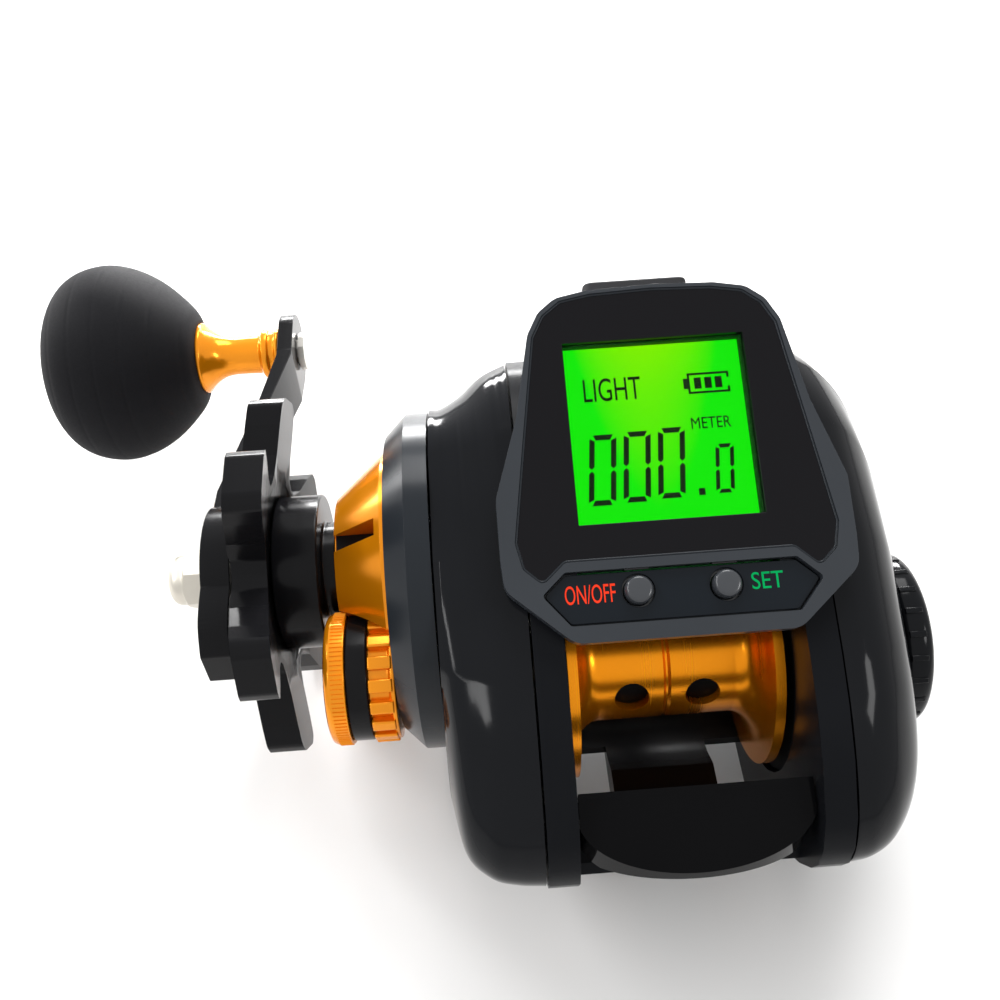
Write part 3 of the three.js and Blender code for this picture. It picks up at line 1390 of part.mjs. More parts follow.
addPart(spoolLine, 'brake_plate', brakePlate(), glossBlack);
addPart(spoolLine, 'magnet_carrier', magnetCarrier(), steel);
addPart(spoolLine, 'brake_dial', brakeDial(), glossBlack);
addPart(spoolLine, 'spool', spoolBody(), anodisedOrange);
addPart(spoolLine, 'spool_shaft', rod(spoolShaftRadius, -knobBossEnd + seatGap, shaftRightEnd, 0, 0, tinySides), steel);
addPart(spoolLine, 'counter_magnet', rod(counterMagnetRadius, -spoolHalfWidth - counterMagnetThickness,
  -spoolHalfWidth, 0, counterRadius, tinySides), steel);
addPart(spoolLine, 'counter_sensor', rod(sensorRadius, -plateOuter + seatGap, -plateOuter + seatGap + sensorLength,
  0, counterRadius, tinySides), softBlack);
addPart(spoolLine, 'spool_bearing_left', tube(spoolBearingRadius, spoolShaftRadius + seatGap,
  -knobBossEnd + seatGap, -knobBossEnd + seatGap + spoolBearingWidth, smallSides), steel);
addPart(spoolLine, 'spool_bearing_right', tube(spoolBearingRadius, spoolShaftRadius + seatGap,
  brakeInner + brakePlateWall, brakeInner + brakePlateWall + spoolBearingWidth, smallSides), steel);
addPart(spoolLine, 'pinion_bearing', tube(pinionBearingRadius, pinionStemRadius + seatGap,
  -plateOuter, -plateOuter + pinionBearingWidth, smallSides), steel);
addPart(spoolLine, 'pinion_gear', pinion(), brass);
addPart(spoolLine, 'clutch_yoke', clutchYoke(), softBlack);
addPart(spoolLine, 'clutch_cam', clutchCam(), steel);
addPart(spoolLine, 'tension_ring', tensionRing(), anodisedOrange);
addPart(spoolLine, 'tension_body', tensionBody(), blackAlloy);
addPart(spoolLine, 'tension_cap', tensionCap(), anodisedOrange);

addPart(driveLine, 'drive_bushing_cone', driveBushing(), anodisedOrange);
addPart(driveLine, 'anti_reverse_bearing', tube(rollerBearingRadius, driveShaftRadius + seatGap,
  -rollerStart, -rollerEnd + seatGap, smallSides), steel);
addPart(driveLine, 'drive_shaft_bearing', tube(driveBearingRadius, driveStubRadius + seatGap,
  -plateOuter, -plateOuter + driveBearingWidth, smallSides), steel);
addPart(driveLine, 'drive_shaft', driveShaft(), steel);
addPart(driveLine, 'drive_gear', driveGear(), brass);
addPart(driveLine, 'drag_washer_carbon', tube(washerRadius, driveShaftRadius + seatGap, -washerStart, -carbonEnd), carbon);
addPart(driveLine, 'drag_washer_steel', tube(washerRadius, driveShaftRadius + seatGap, -carbonEnd, -steelEnd), steel);
addPart(driveLine, 'level_wind_drive_gear', levelGear(levelTeeth, driveStubRadius + seatGap, levelBearing), softBlack);
addPart(driveLine, 'drag_collar', dragCollar(), blackAlloy);
addPart(driveLine, 'star_drag', starDrag(), blackAlloy);
addPart(crank, 'handle_arm', handleArm(), blackAlloy);
addPart(crank, 'nut_retainer', nutRetainer(), blackAlloy);
addPart(crank, 'handle_nut', handleNut(), steel);
addPart(knobLine, 'knob_spindle', knobSpindle(), steel);
addPart(knobLine, 'knob_neck', knobNeck(), anodisedOrange);
addPart(knobLine, 'handle_knob', handleKnob(), softBlack);

addPart(wormLine, 'worm_shaft', wormShaft(), steel);
addPart(wormLine, 'worm_gear', levelGear(wormTeeth, wormJournalRadius + seatGap,
  levelBearing + Math.PI + Math.PI / wormTeeth), softBlack);
addPart(wormLine, 'line_guide', lineGuide(), glossBlack);
addPart(wormLine, 'line_guide_insert', guideInsert(), steel);
addPart(wormLine, 'guide_pawl', pawl(), brass);

addPart(reel, 'thumb_bar', thumbBar(), glossBlack);

addPart(display, 'display_housing', displayHousing(), bezelGrey);
addPart(display, 'display_glass', displayGlass(), glassBlack);
addPart(display, 'lcd_panel', lcdPanel(), screenGreen);
addPart(display, 'button_panel', buttonPanel(), glossBlack);
addPart(display, 'on_off_button', button(-1), buttonGrey);
addPart(display, 'set_button', button(1), buttonGrey);
addPart(display, 'circuit_board', circuitBoard(), boardGreen);
addPart(display, 'battery', battery(), cellSilver);
addPart(display, 'charge_jack', chargeJack(), softBlack);
addPart(display, 'charge_port_cover', chargePortCover(), rubberBlack);

export default reel;
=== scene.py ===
"""Looks of the line-counter reel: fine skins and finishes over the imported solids."""

import math

import bmesh
import bpy
from bpy.props import FloatProperty, FloatVectorProperty, IntProperty, PointerProperty
from bpy.types import Operator, Panel, PropertyGroup
from mathutils import Matrix, Vector


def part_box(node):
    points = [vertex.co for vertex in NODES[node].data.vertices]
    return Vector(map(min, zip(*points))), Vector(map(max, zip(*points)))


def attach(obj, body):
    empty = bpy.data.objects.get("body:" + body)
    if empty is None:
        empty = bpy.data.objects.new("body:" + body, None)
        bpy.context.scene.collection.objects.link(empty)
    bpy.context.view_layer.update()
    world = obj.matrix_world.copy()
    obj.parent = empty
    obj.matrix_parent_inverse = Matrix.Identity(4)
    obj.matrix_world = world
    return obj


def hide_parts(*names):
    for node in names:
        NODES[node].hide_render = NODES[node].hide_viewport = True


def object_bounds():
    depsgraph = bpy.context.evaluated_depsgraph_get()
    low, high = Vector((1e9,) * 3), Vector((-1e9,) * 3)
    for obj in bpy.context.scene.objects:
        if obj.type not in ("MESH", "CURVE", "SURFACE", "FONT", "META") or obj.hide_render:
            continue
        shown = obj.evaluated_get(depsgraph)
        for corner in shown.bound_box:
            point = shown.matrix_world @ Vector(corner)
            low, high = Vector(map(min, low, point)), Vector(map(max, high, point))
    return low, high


bl_info = {
    "name": "Line counter reel",
    "version": (1, 0),
    "blender": (4, 5, 0),
    "location": "3D View > Sidebar > Reel",
    "description": "Builds the reel's visible pieces and its studio stage",
    "category": "Object",
}

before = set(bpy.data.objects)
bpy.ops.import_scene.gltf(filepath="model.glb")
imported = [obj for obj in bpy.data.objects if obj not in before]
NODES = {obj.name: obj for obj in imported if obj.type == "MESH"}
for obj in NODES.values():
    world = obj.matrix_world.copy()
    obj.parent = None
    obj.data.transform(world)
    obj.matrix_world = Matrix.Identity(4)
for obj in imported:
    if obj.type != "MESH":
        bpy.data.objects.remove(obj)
CAD_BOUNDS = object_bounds()

# Millimetres are used for all shapes, and turned into metres where a mesh is made
MM = 0.001
GAP = 0.3  # room round a piece in its seat
OVER = 2.0  # how far a cutting tool reaches past what it cuts
SIDES = 128
SMALL_SIDES = 48
WELD = 1e-7
SHARP_ANGLE = 32.0
EDGE_SEGMENTS = 3
FLAT_ANGLE = math.radians(0.4)
COPY_FLAT_ANGLE = math.radians(1.0)

# Side outline, as shares of the body's length and height about the spool axis
BODY_LENGTH = 73.0
BODY_HEIGHT = 56.0
AXIS_HEIGHT = 20.0
FRONT_CURVE = (
    (0.466, 0.491), (0.521, 0.411), (0.562, 0.268), (0.562, 0.089), (0.534, -0.12),
    (0.43, -0.31), (0.32, -0.43), (0.22, -0.4643),
)
REAR_CURVE = (
    (-0.123, -0.4643), (-0.192, -0.411), (-0.288, -0.295), (-0.377, -0.161),
    (-0.432, -0.036), (-0.445, 0.054), (-0.411, 0.161), (-0.301, 0.286), (-0.192, 0.364),
)
SADDLE = ((-0.192, 0.364), (0.0, 0.473), (0.219, 0.554), (0.37, 0.554), (0.466, 0.491))
CURVE_STEPS = 56
SIDE_WALL = 2.0

# Gear side cover: depth, and how far its rear and its front have run to the cap's seat
GEAR_RINGS = ((0, 0, 0), (0.3, 0, 0.25), (0.62, 0.03, 0.75), (0.86, 0.17, 1), (1, 0.54, 1))
GEAR_RING_STEPS = 26
CAVITY_LEAD = 0.28
GEAR_SCREWS = ((-0.242, -0.09), (0.33, -0.29))
CAP_RADIUS = 24.6
CAP_CENTRE = (13.6, 24.0)
CAP_CHAMFER = 3.0
CAP_WALL = 2.2
CAP_SEAT = 1.7

# Palm side cover: depth, and size
PALM_RINGS = ((0, 1), (0.25, 0.985), (0.5, 0.93), (0.78, 0.79), (1, 0.54))
PALM_RING_STEPS = 26
PALM_CENTRE = (4.0, 20.5)
PALM_SCREW = (-0.29, -0.12)
SCREW_HEAD = 2.3
SCREW_HEAD_HEIGHT = 1.6
SCREW_SHANK = 1.1
SCREW_CROSS = (1.5, 0.35)
SCREW_CROSS_DEPTH = 1.0
GEAR_SINK = 8.0
PALM_SINK = 5.0
SCREW_BOSS = 1.2
GEAR_BOSS = 3.2
CAM_ROOM = 2.2
DIMPLE_RADIUS = 3.3
DIMPLE_PLACE = (1.4, -1.8, 1.6)
DIAL_STEM = 3.0

# Spool
FLANGE_RADIUS = 16.2
FLANGE_THICKNESS = 1.3
ARBOR_RADIUS = 8.6
ARBOR_HALF = 9.3
ARBOR_WALL = 1.3
FLARE_SLOPE = 1.3
FLARE_STEPS = 12
# Black tubes inside the arbor, seen through its holes, are painted shade: how far inside the
# arbor's bore their outside and inside lie
SHADE_TUBE_OUTER = 0.05
SHADE_TUBE_INNER = 0.6
SPOOL_HUB = 2.4
SPOOL_HUB_WALL = 1.15
WEB_HALF = 1.2
HOLE_RADIUS = 2.4
HOLE_OFFSET = 4.9
HOLE_COUNT = 5
HOLE_TURN = 0.0
SEAM_HALF = 0.5
SEAM_DEPTH = 0.35

# Crank side
SHAFT_RADIUS = 3.0
CONE_BASE = 17.0
CONE_TIP = 10.8
CONE_RIM = 0.8
CONE_SLOT = 1.25
CONE_SLOT_TURN = math.radians(107)
CONE_SLOT_DEPTH = 1.2
CONE_ROOM = 0.5
# Black block on the floor of the cone's slot, painted shade: its depths below the tip's radius, and
# its reach past the slot's sides
SLOT_SHADE_DEPTHS = (1.1, 0.3)
SLOT_SHADE_OVER = 0.2
TENSION_RADIUS = 9.3
TENSION_BODY = 8.9
KNOB_BOSS = 4.9
TENSION_TEETH = 18
TENSION_KNURLS = 90
TENSION_TOOTH = 1.15
TENSION_TOOTH_SHARE = 0.29
KNURL_HEIGHT = 0.14
COLLAR_RADIUS = 11.5
COLLAR_NECK = 7.2
STAR_RADIUS = 26.4
STAR_LOBES = 6
STAR_TURN = 0.61
STAR_DISH = 1.2
STAR_DISH_SHARE = 0.8
STAR_CORNER = 1.6
STAR_THICKNESS = 5.2
STAR_LEAN = 2.0
STAR_ROOT = 0.52
STAR_SHARES = (
    (-0.18, 0.97), (-0.11, 1.0), (0.11, 1.0), (0.18, 0.97), (0.22, 0.86), (0.28, 0.69),
    (0.38, 0.59), (0.5, 0.57), (0.62, 0.59), (0.72, 0.69), (0.78, 0.86),
)
ARM_LENGTH = 52.6
ARM_TILT = math.radians(-2.5)
HUB_RADIUS = 10.7
HUB_THICKNESS = 4.2
ARM_SWEEP = 6.3
ARM_TIP = 2.6
ARM_END = 6.8
ARM_FALL = 0.86
ARM_TAIL = 16.5
ARM_HALF = 10.0
ARM_BEND = (30.0, 3.3)
ARM_CORNER = 1.5
ARM_PLAN = (
    (-1, 0.3), (-0.8, 0.62), (-0.5, 0.74), (0, 0.78), (0.3, 0.64), (0.6, 0.52), (0.88, 0.58),
)
NUT_HEX = 4.7
NUT_HEX_LENGTH = 3.6
NUT_SIDES = 6
KNOB_RADIUS = 17.75
KNOB_PROFILE = (
    (0, 0.38), (0.03, 0.5), (0.12, 0.66), (0.25, 0.83), (0.4, 0.95), (0.55, 1.0),
    (0.7, 0.97), (0.82, 0.88), (0.92, 0.7), (0.98, 0.42), (1.0, 0.0),
)
KNOB_STEPS = 60
KNOB_BORE_SPARE = 1.9
NECK_RING = 4.4
NECK_RING_WIDTH = 3.4
NECK_WAIST = 3.5
NECK_FLARE = 6.4
NECK_SLEEVE = 4.8
SPINDLE_RADIUS = 2.2

# Display, in its own frame: X across, Y up its face, Z out of it
DISPLAY_TILT = math.radians(26.7)
DISPLAY_CENTRE = (0.0, 11.05, 55.6)
FACE_HALF = 19.7
HOUSING_OUTLINE = (
    (0, 1), (0.42, 0.985), (0.63, 0.945), (0.75, 0.85), (0.83, 0.7), (0.945, 0.137),
    (1.112, -0.38), (1.112, -0.76), (1.1, -0.96), (0.69, -1.315),
)
GLASS_OUTLINE = (
    (0, 0.96), (0.4, 0.945), (0.6, 0.91), (0.715, 0.82), (0.79, 0.68), (0.905, -0.05),
    (1, -0.67), (0.965, -0.83), (0.863, -0.929), (0.716, -0.797),
)
PANEL_OUTLINE = ((0, -0.888), (0.72, -0.888), (0.858, -1.01), (0.705, -1.193), (0, -1.193))
HOUSING_CORNER = 3.0
GLASS_CORNER = 1.0
PANEL_CORNER = 0.6
HOUSING_DEPTH = 26.0
HOUSING_FRONT = ((0.472, 0.485), (0.486, 0.6))
BELLY = ((-0.148, 0.405), (-0.092, 0.316), (0.3, 0.314), (0.445, 0.35), (0.46, 0.48))
BELLY_HALF = 13.8
BEAD_RADIUS = 0.2
BEAD_SINK = 0.28
CAVITY = ((-12.6, 12.6), (-13.2, 15.2), (-10.6, 0.0))
LEDGE_START = -22.4
LEDGE_BOTTOM = -5.5
JACK_HALF = 4.0
JACK_DEPTHS = (-9.5, -1.2)
JACK_END = 17.0
GLASS_SINK = 0.2
GLASS_THICKNESS = 1.0
LCD_SIZE = (23.2, 22.9)
LCD_CENTRE = -0.35
LCD_DEPTH = 2.2
LCD_THICKNESS = 1.4
PANEL_SINK = 0.8
PANEL_THICKNESS = 0.8
BUTTON_RADIUS = 1.75
BUTTON_PLACES = ((-5.4, -19.9), (5.4, -19.9))
BUTTON_RISE = 0.5
BUTTON_FLANGE = 2.2
BUTTON_FLANGE_THICKNESS = 0.9
BUTTON_FLANGE_SINK = 0.4
PORT_CENTRE = -1.5
PORT_WIDTH = 13.8
PORT_TOP = 1.5
PORT_HEIGHT = 10.2
PORT_BACK = 19.1
PORT_THICKNESS = 2.2
PORT_CORNER = 1.4
PORT_RIBS = 5
PORT_RIB_STEP = 1.1
MARK_THICKNESS = 0.05

# Lit digits: left, base, width, height and thickness of the bars
DIGITS = (
    (-10.3, -8.75, 3.45, 9.2, 0.68), (-5.9, -8.6, 3.45, 9.2, 0.68),
    (-1.5, -8.4, 3.45, 9.2, 0.68), (5.85, -8.2, 2.35, 6.4, 0.5),
)
DIGIT_GAP = 0.12
DIGIT_LEAN = 0.1

# Thumb bar
THUMB_FRONT = 24.6
THUMB_TOP = 29.8
THUMB_REACH = 8.4
THUMB_DROP = 6.4
THUMB_THICKNESS = 4.6
THUMB_HALF = 14.5
THUMB_EDGE = 0.3

# Worm thread, in metres
THREAD_RADIUS = 0.0026
THREAD_TURNS = 5.0

# Camera that matches the photo
CAMERA_PLACE = (-24.0, -78.9, 151.35)
CAMERA_AZIMUTH = math.radians(-1.8)
CAMERA_ELEVATION = math.radians(50)
CAMERA_ROLL = math.radians(2.68)
CAMERA_SENSOR = 36.0
CAMERA_LENS = 37.8
CAMERA_NEAR = 0.01
CAMERA_FAR = 20.0

# Lamps, in metres: name, place, width, height and share of the key lamp's power
LAMPS = (
    ("key", (0.12, 0.6, 0.72), 0.5, 0.4, 0.85),
    ("left", (-0.62, 0.5, 0.28), 0.1, 0.55, 0.55),
    ("above", (-0.5, 0.0, 0.55), 0.6, 0.08, 0.35),
    ("fill", (0.6, -0.35, 0.6), 0.3, 0.15, 0.25),
    ("front", (0.05, 0.6, 0.12), 0.5, 0.1, 1.1),
)
LAMP_TARGET = (0.0, 0.01, 0.03)

# Floor, in millimetres
FLOOR_THICKNESS = 10
FLOOR_GAP = 0.05

# Finishes, in metres
GRIP_RING_STEP = 0.0042
METAL_SPREAD = 0.15


class ReelSizes(PropertyGroup):
    """Sizes of the skins that can be changed by themselves."""

    edge: FloatProperty(
        name="Edge rounding", description="Radius on machined and moulded edges",
        default=0.35 * MM, min=0.0, unit="LENGTH",
    )
    soft_edge: FloatProperty(
        name="Soft edge rounding", description="Radius on the covers, the star and the crank",
        default=0.6 * MM, min=0.0, unit="LENGTH",
    )
    rib: FloatProperty(
        name="Knurl width", description="Width of one rib round the cast control cap",
        default=0.36 * MM, min=0.0, unit="LENGTH",
    )
    thread: FloatProperty(
        name="Worm thread", description="Radius of the raised thread on the level-wind shaft",
        default=0.16 * MM, min=0.0, unit="LENGTH",
    )
    dial_grips: IntProperty(
        name="Dial grips", description="Grips round the brake dial", default=24, min=3,
    )


def colour_input(name, description, default):
    return FloatVectorProperty(
        name=name, description=description, subtype="COLOR", size=3, default=default,
        min=0.0, max=1.0,
    )


class ReelColours(PropertyGroup):
    """Colours of the finishes."""

    shell: colour_input("Shell", "Moulded covers and frame", (0.005, 0.0055, 0.0068))
    bezel: colour_input("Bezel", "Display housing", (0.02, 0.0235, 0.0285))
    anodised: colour_input("Anodised", "Spool, cone, neck and cast control", (1.0, 0.33, 0.003))
    alloy: colour_input("Black alloy", "Crank, star and collar", (0.006, 0.006, 0.007))
    grip: colour_input("Grip", "Crank knob", (0.004, 0.004, 0.005))
    screen: colour_input("Screen", "Back light of the screen", (0.006, 0.84, 0.002))
    on_off: colour_input("ON/OFF", "Word beside the left button", (0.85, 0.045, 0.015))
    set_word: colour_input("SET", "Word beside the right button", (0.0, 0.35, 0.09))


class StageSettings(PropertyGroup):
    """Floor and light."""

    floor_colour: colour_input("Floor", "Colour of the floor", (0.86, 0.855, 0.85))
    floor_size: FloatProperty(
        name="Floor size", description="Side of the floor", default=6.0, min=0.5, unit="LENGTH",
    )
    sky: FloatProperty(
        name="Sky", description="Strength of the even light", default=0.55, min=0.0,
    )
    key: FloatProperty(
        name="Key lamp", description="Power that each lamp has a share of",
        default=6.5, min=0.0, unit="POWER",
    )


class Wire:
    """A socket that works with Python's own operators."""

    def __init__(self, graph, socket):
        self.graph = graph
        self.socket = socket

    def _math(self, operation, *values):
        return self.graph.node("ShaderNodeMath", {"operation": operation}, dict(enumerate(values)))

    def __add__(self, other):
        return self._math("ADD", self, other)

    __radd__ = __add__

    def __sub__(self, other):
        return self._math("SUBTRACT", self, other)

    def __rsub__(self, other):
        return self._math("SUBTRACT", other, self)

    def __mul__(self, other):
        return self._math("MULTIPLY", self, other)

    __rmul__ = __mul__

    def __truediv__(self, other):
        return self._math("DIVIDE", self, other)


class Graph:
    """Adds nodes to a node tree, for finishes and for repeated shapes alike."""

    def __init__(self, tree):
        self.tree = tree

    def node(self, kind, settings=None, inputs=None, output=0):
        made = self.tree.nodes.new(kind)
        for key, value in (settings or {}).items():
            setattr(made, key, value)
        for key, value in (inputs or {}).items():
            if isinstance(value, Wire):
                self.tree.links.new(value.socket, made.inputs[key])
            else:
                made.inputs[key].default_value = value
        return Wire(self, made.outputs[output]) if made.outputs else made


class Finish(Graph):
    """One material: its nodes read Object coordinates only."""

    def __init__(self, name):
        self.material = bpy.data.materials.new(name)
        self.material.use_nodes = True
        self.material.node_tree.nodes.clear()
        super().__init__(self.material.node_tree)

    def place(self, scale=(1.0, 1.0, 1.0)):
        point = self.node("ShaderNodeTexCoord", output="Object")
        return self.node("ShaderNodeMapping", {}, {"Vector": point, "Scale": scale})

    def noise(self, scale, detail, stretch=(1.0, 1.0, 1.0)):
        return self.node("ShaderNodeTexNoise", {}, {
            "Vector": self.place(stretch), "Scale": scale, "Detail": detail,
        })

    def parts(self):
        """The X, Y and Z of a point, in metres."""
        point = self.node("ShaderNodeTexCoord", output="Object")
        split = self.tree.nodes.new("ShaderNodeSeparateXYZ")
        self.tree.links.new(point.socket, split.inputs[0])
        return [Wire(self, socket) for socket in split.outputs]

    def mix(self, factor, one, other):
        """A colour between two colours."""
        return self.node("ShaderNodeMix", {"data_type": "RGBA"}, {
            "Factor": factor, 6: one, 7: other,
        }, output=2)

    def bump(self, height, distance, strength):
        return self.node("ShaderNodeBump", {}, {
            "Height": height, "Distance": distance, "Strength": strength,
        })

    def surface(self, **values):
        """The shader, its sockets named with underscores for spaces."""
        inputs = {key.replace("_", " "): value for key, value in values.items()}
        shader = self.node("ShaderNodeBsdfPrincipled", {}, inputs)
        self.node("ShaderNodeOutputMaterial", {}, {"Surface": shader})
        return self.material


def solid_colour(colour):
    return (*colour, 1.0)


def moulded(name, colour, roughness, gloss=0.3, grain=0.12):
    """Moulded plastic with faint flow in its gloss and an even, slightly wavy skin."""
    finish = Finish(name)
    flow = finish.noise(60.0, 3.0)
    fine = finish.noise(900.0, 2.0)
    lifted = tuple(channel * 1.4 + 0.001 for channel in colour)
    return finish.surface(
        Base_Color=finish.mix(flow, solid_colour(colour), solid_colour(lifted)),
        Roughness=flow * grain + (roughness - grain / 2),
        Specular_IOR_Level=gloss,
        Normal=finish.bump(fine, 0.00001, 0.15),
    )


def anodised(name, colour, roughness, streak, metallic, gloss=0.5):
    """Turned and anodised alloy: fine rings of the lathe round the X axis."""
    finish = Finish(name)
    rings = finish.noise(40.0, 2.0, (60.0, 1.0, 1.0))
    cloud = finish.noise(90.0, 2.0)
    deep = tuple(channel * 0.82 for channel in colour)
    return finish.surface(
        Base_Color=finish.mix(cloud, solid_colour(colour), solid_colour(deep)),
        Metallic=metallic,
        Specular_IOR_Level=gloss,
        Roughness=rings * streak + roughness,
        Normal=finish.bump(rings, 0.000004, 0.1),
    )


def bare_metal(name, colour, roughness):
    """Ground or blasted metal with a fine grain."""
    finish = Finish(name)
    grain = finish.noise(1600.0, 2.0)
    cloud = finish.noise(120.0, 3.0)
    dark = tuple(channel * 0.7 for channel in colour)
    return finish.surface(
        Base_Color=finish.mix(cloud, solid_colour(colour), solid_colour(dark)),
        Metallic=1.0,
        Roughness=cloud * METAL_SPREAD + roughness,
        Normal=finish.bump(grain, 0.00002, 0.25),
    )


def grip_foam(name, colour):
    """Matte grip with a soft dusty sheen and shallow turned rings."""
    finish = Finish(name)
    along = finish.parts()[0]
    turn = along * (2 * math.pi / GRIP_RING_STEP)
    rings = finish.node("ShaderNodeMath", {"operation": "SINE"}, {0: turn})
    line = finish.node("ShaderNodeMath", {"operation": "POWER"}, {0: rings * 0.5 + 0.5, 1: 14.0})
    pores = finish.noise(2600.0, 3.0)
    dust = finish.noise(70.0, 4.0)
    pale = tuple(channel * 2.0 + 0.001 for channel in colour)
    return finish.surface(
        Base_Color=finish.mix(dust, solid_colour(colour), solid_colour(pale)),
        Roughness=pores * 0.2 + 0.62,
        Specular_IOR_Level=0.12,
        Normal=finish.bump(pores * 0.12 - line, 0.00015, 0.3),
    )


def woven(name):
    """Woven carbon washers."""
    finish = Finish(name)
    checks = finish.node("ShaderNodeTexChecker", {}, {
        "Vector": finish.place(), "Scale": 900.0,
        "Color1": (0.02, 0.02, 0.022, 1.0), "Color2": (0.05, 0.05, 0.055, 1.0),
    })
    return finish.surface(Base_Color=checks, Roughness=0.5)


def coated_board(name):
    """Circuit board: coated green with paler tracks."""
    finish = Finish(name)
    tracks = finish.node("ShaderNodeTexBrick", {}, {
        "Vector": finish.place(), "Scale": 120.0, "Color1": (0.02, 0.16, 0.06, 1.0),
        "Color2": (0.02, 0.13, 0.05, 1.0), "Mortar": (0.05, 0.3, 0.1, 1.0),
    })
    return finish.surface(Base_Color=tracks, Roughness=0.4)


def lit_screen(name, colour):
    """Back-lit screen: yellower towards the top, deeper towards its lower left."""
    finish = Finish(name)
    across, _, up = finish.parts()
    cloud = finish.noise(70.0, 1.0)
    side = (across + 0.001) / 0.0085
    rise = (up - 0.0515) / 0.008 - side * side + cloud * 0.5 - 0.25
    hot = finish.node("ShaderNodeMapRange", {}, {"Value": rise, "From Min": -0.2, "From Max": 1.0})
    warm = (0.22, 0.9, 0.0, 1.0)
    lit = finish.mix(hot, solid_colour(colour), warm)
    return finish.surface(
        Base_Color=(0.0, 0.01, 0.0, 1.0),
        Roughness=0.25,
        Specular_IOR_Level=0.02,
        Emission_Color=lit,
        Emission_Strength=0.95,
    )


def printed(name, colour, painted_glow=0.0):
    """Printed words and marks; a glow strength above nought makes them give off light of their own,
    a painted glow.
    """
    finish = Finish(name)
    cloud = finish.noise(400.0, 2.0)
    worn = tuple(channel * 0.8 for channel in colour)
    mixed = finish.mix(cloud, solid_colour(colour), solid_colour(worn))
    return finish.surface(
        Base_Color=mixed, Roughness=cloud * 0.1 + 0.35, Specular_IOR_Level=0.05,
        Emission_Color=mixed, Emission_Strength=painted_glow,
    )


def clear_window(name):
    """The pane over the screen, which barely bends the light."""
    finish = Finish(name)
    smear = finish.noise(50.0, 2.0)
    return finish.surface(
        Base_Color=(1.0, 1.0, 1.0, 1.0), Roughness=smear * 0.02, Transmission_Weight=1.0, IOR=1.06,
    )


def black_glass(name, colour):
    """Glossy black or blue-black panes."""
    finish = Finish(name)
    smear = finish.noise(50.0, 2.0)
    return finish.surface(
        Base_Color=solid_colour(colour), Roughness=smear * 0.05 + 0.03, Specular_IOR_Level=0.14,
    )


def make_finishes():
    """Every finish of the reel, by name."""
    colours = bpy.context.scene.reel_colours
    return {
        "shell": moulded("shell", colours.shell, 0.1, 0.1, 0.04),
        "frame": moulded("frame_black", colours.shell, 0.25, 0.05, 0.05),
        "thumb": moulded("thumb_skin", (0.002, 0.002, 0.0024), 0.1, 0.05, 0.04),
        "matte": moulded("matte_black", (0.004, 0.004, 0.0045), 0.5, 0.06),
        # Dark green on the wall round the screen is a painted glow: the screen's green light
        # painted into the wall's colour
        "wall": moulded("screen_wall", (0.003, 0.04, 0.003), 0.5, 0.1),
        "bezel": moulded("bezel", colours.bezel, 0.3, 0.3),
        "cap": moulded("cap_skin", (0.012, 0.0145, 0.018), 0.22, 0.16),
        "orange": anodised("anodised_orange", colours.anodised, 0.14, 0.1, 0.55),
        "spool": anodised("spool_orange", colours.anodised, 0.24, 0.05, 0.8),
        "alloy": anodised("anodised_black", colours.alloy, 0.16, 0.08, 0.0, 0.12),
        "grip": grip_foam("grip", colours.grip),
        "steel": bare_metal("steel", (0.6, 0.58, 0.54), 0.25),
        "nut": bare_metal("nut_steel", (0.72, 0.68, 0.6), 0.34),
        "brass": bare_metal("brass", (0.6, 0.42, 0.16), 0.3),
        "carbon": woven("carbon"),
        "nylon": moulded("nylon", (0.02, 0.02, 0.022), 0.55),
        "window": clear_window("window"),
        "glass": black_glass("black_glass", (0.003, 0.0027, 0.004)),
        "panel": black_glass("panel_gloss", (0.006, 0.009, 0.013)),
        "screen": lit_screen("lit_screen", colours.screen),
        "segment": printed("segment", (0.004, 0.012, 0.003)),
        # ON/OFF and SET are given a painted glow: light from printed words that have no lamp
        "on_off": printed("on_off_red", colours.on_off, 0.25),
        "set_word": printed("set_green", colours.set_word, 0.25),
        "board": coated_board("board"),
        "cell": moulded("cell_wrap", (0.3, 0.32, 0.35), 0.4),
        "button": moulded("button", (0.03, 0.033, 0.038), 0.2, 0.5),
        "rubber": moulded("rubber", (0.012, 0.012, 0.014), 0.6),
        "ring": bare_metal("hard_ring", (0.4, 0.4, 0.41), 0.12),
    }


FINISHES = {}


def span(node):
    """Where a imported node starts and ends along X, in millimetres."""
    low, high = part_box(node)
    return low.x / MM, high.x / MM


def middle(node):
    """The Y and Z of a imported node's centre, in millimetres."""
    low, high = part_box(node)
    return (low.y + high.y) / 2 / MM, (low.z + high.z) / 2 / MM


def size(name):
    """One of the panel's sizes, in millimetres."""
    return getattr(bpy.context.scene.reel_sizes, name) / MM


def new_object(name, data):
    """An object in the scene."""
    made = bpy.data.objects.new(name, data)
    bpy.context.scene.collection.objects.link(made)
    return made


def new_piece(name, vertices, faces):
    """A closed mesh from corners in millimetres, with its faces turned outward."""
    mesh = bpy.data.meshes.new(name)
    mesh.from_pydata([Vector(corner) * MM for corner in vertices], [], faces)
    clean(mesh)
    return new_object(name, mesh)


def clean(mesh, flat=0.0):
    """Merges doubled corners, and melts edges between faces that are flat to each other."""
    work = bmesh.new()
    work.from_mesh(mesh)
    bmesh.ops.remove_doubles(work, verts=work.verts, dist=WELD)
    if flat:
        bmesh.ops.dissolve_limit(work, angle_limit=flat, verts=work.verts, edges=work.edges)
    bmesh.ops.recalc_face_normals(work, faces=work.faces)
    work.to_mesh(mesh)
    work.free()


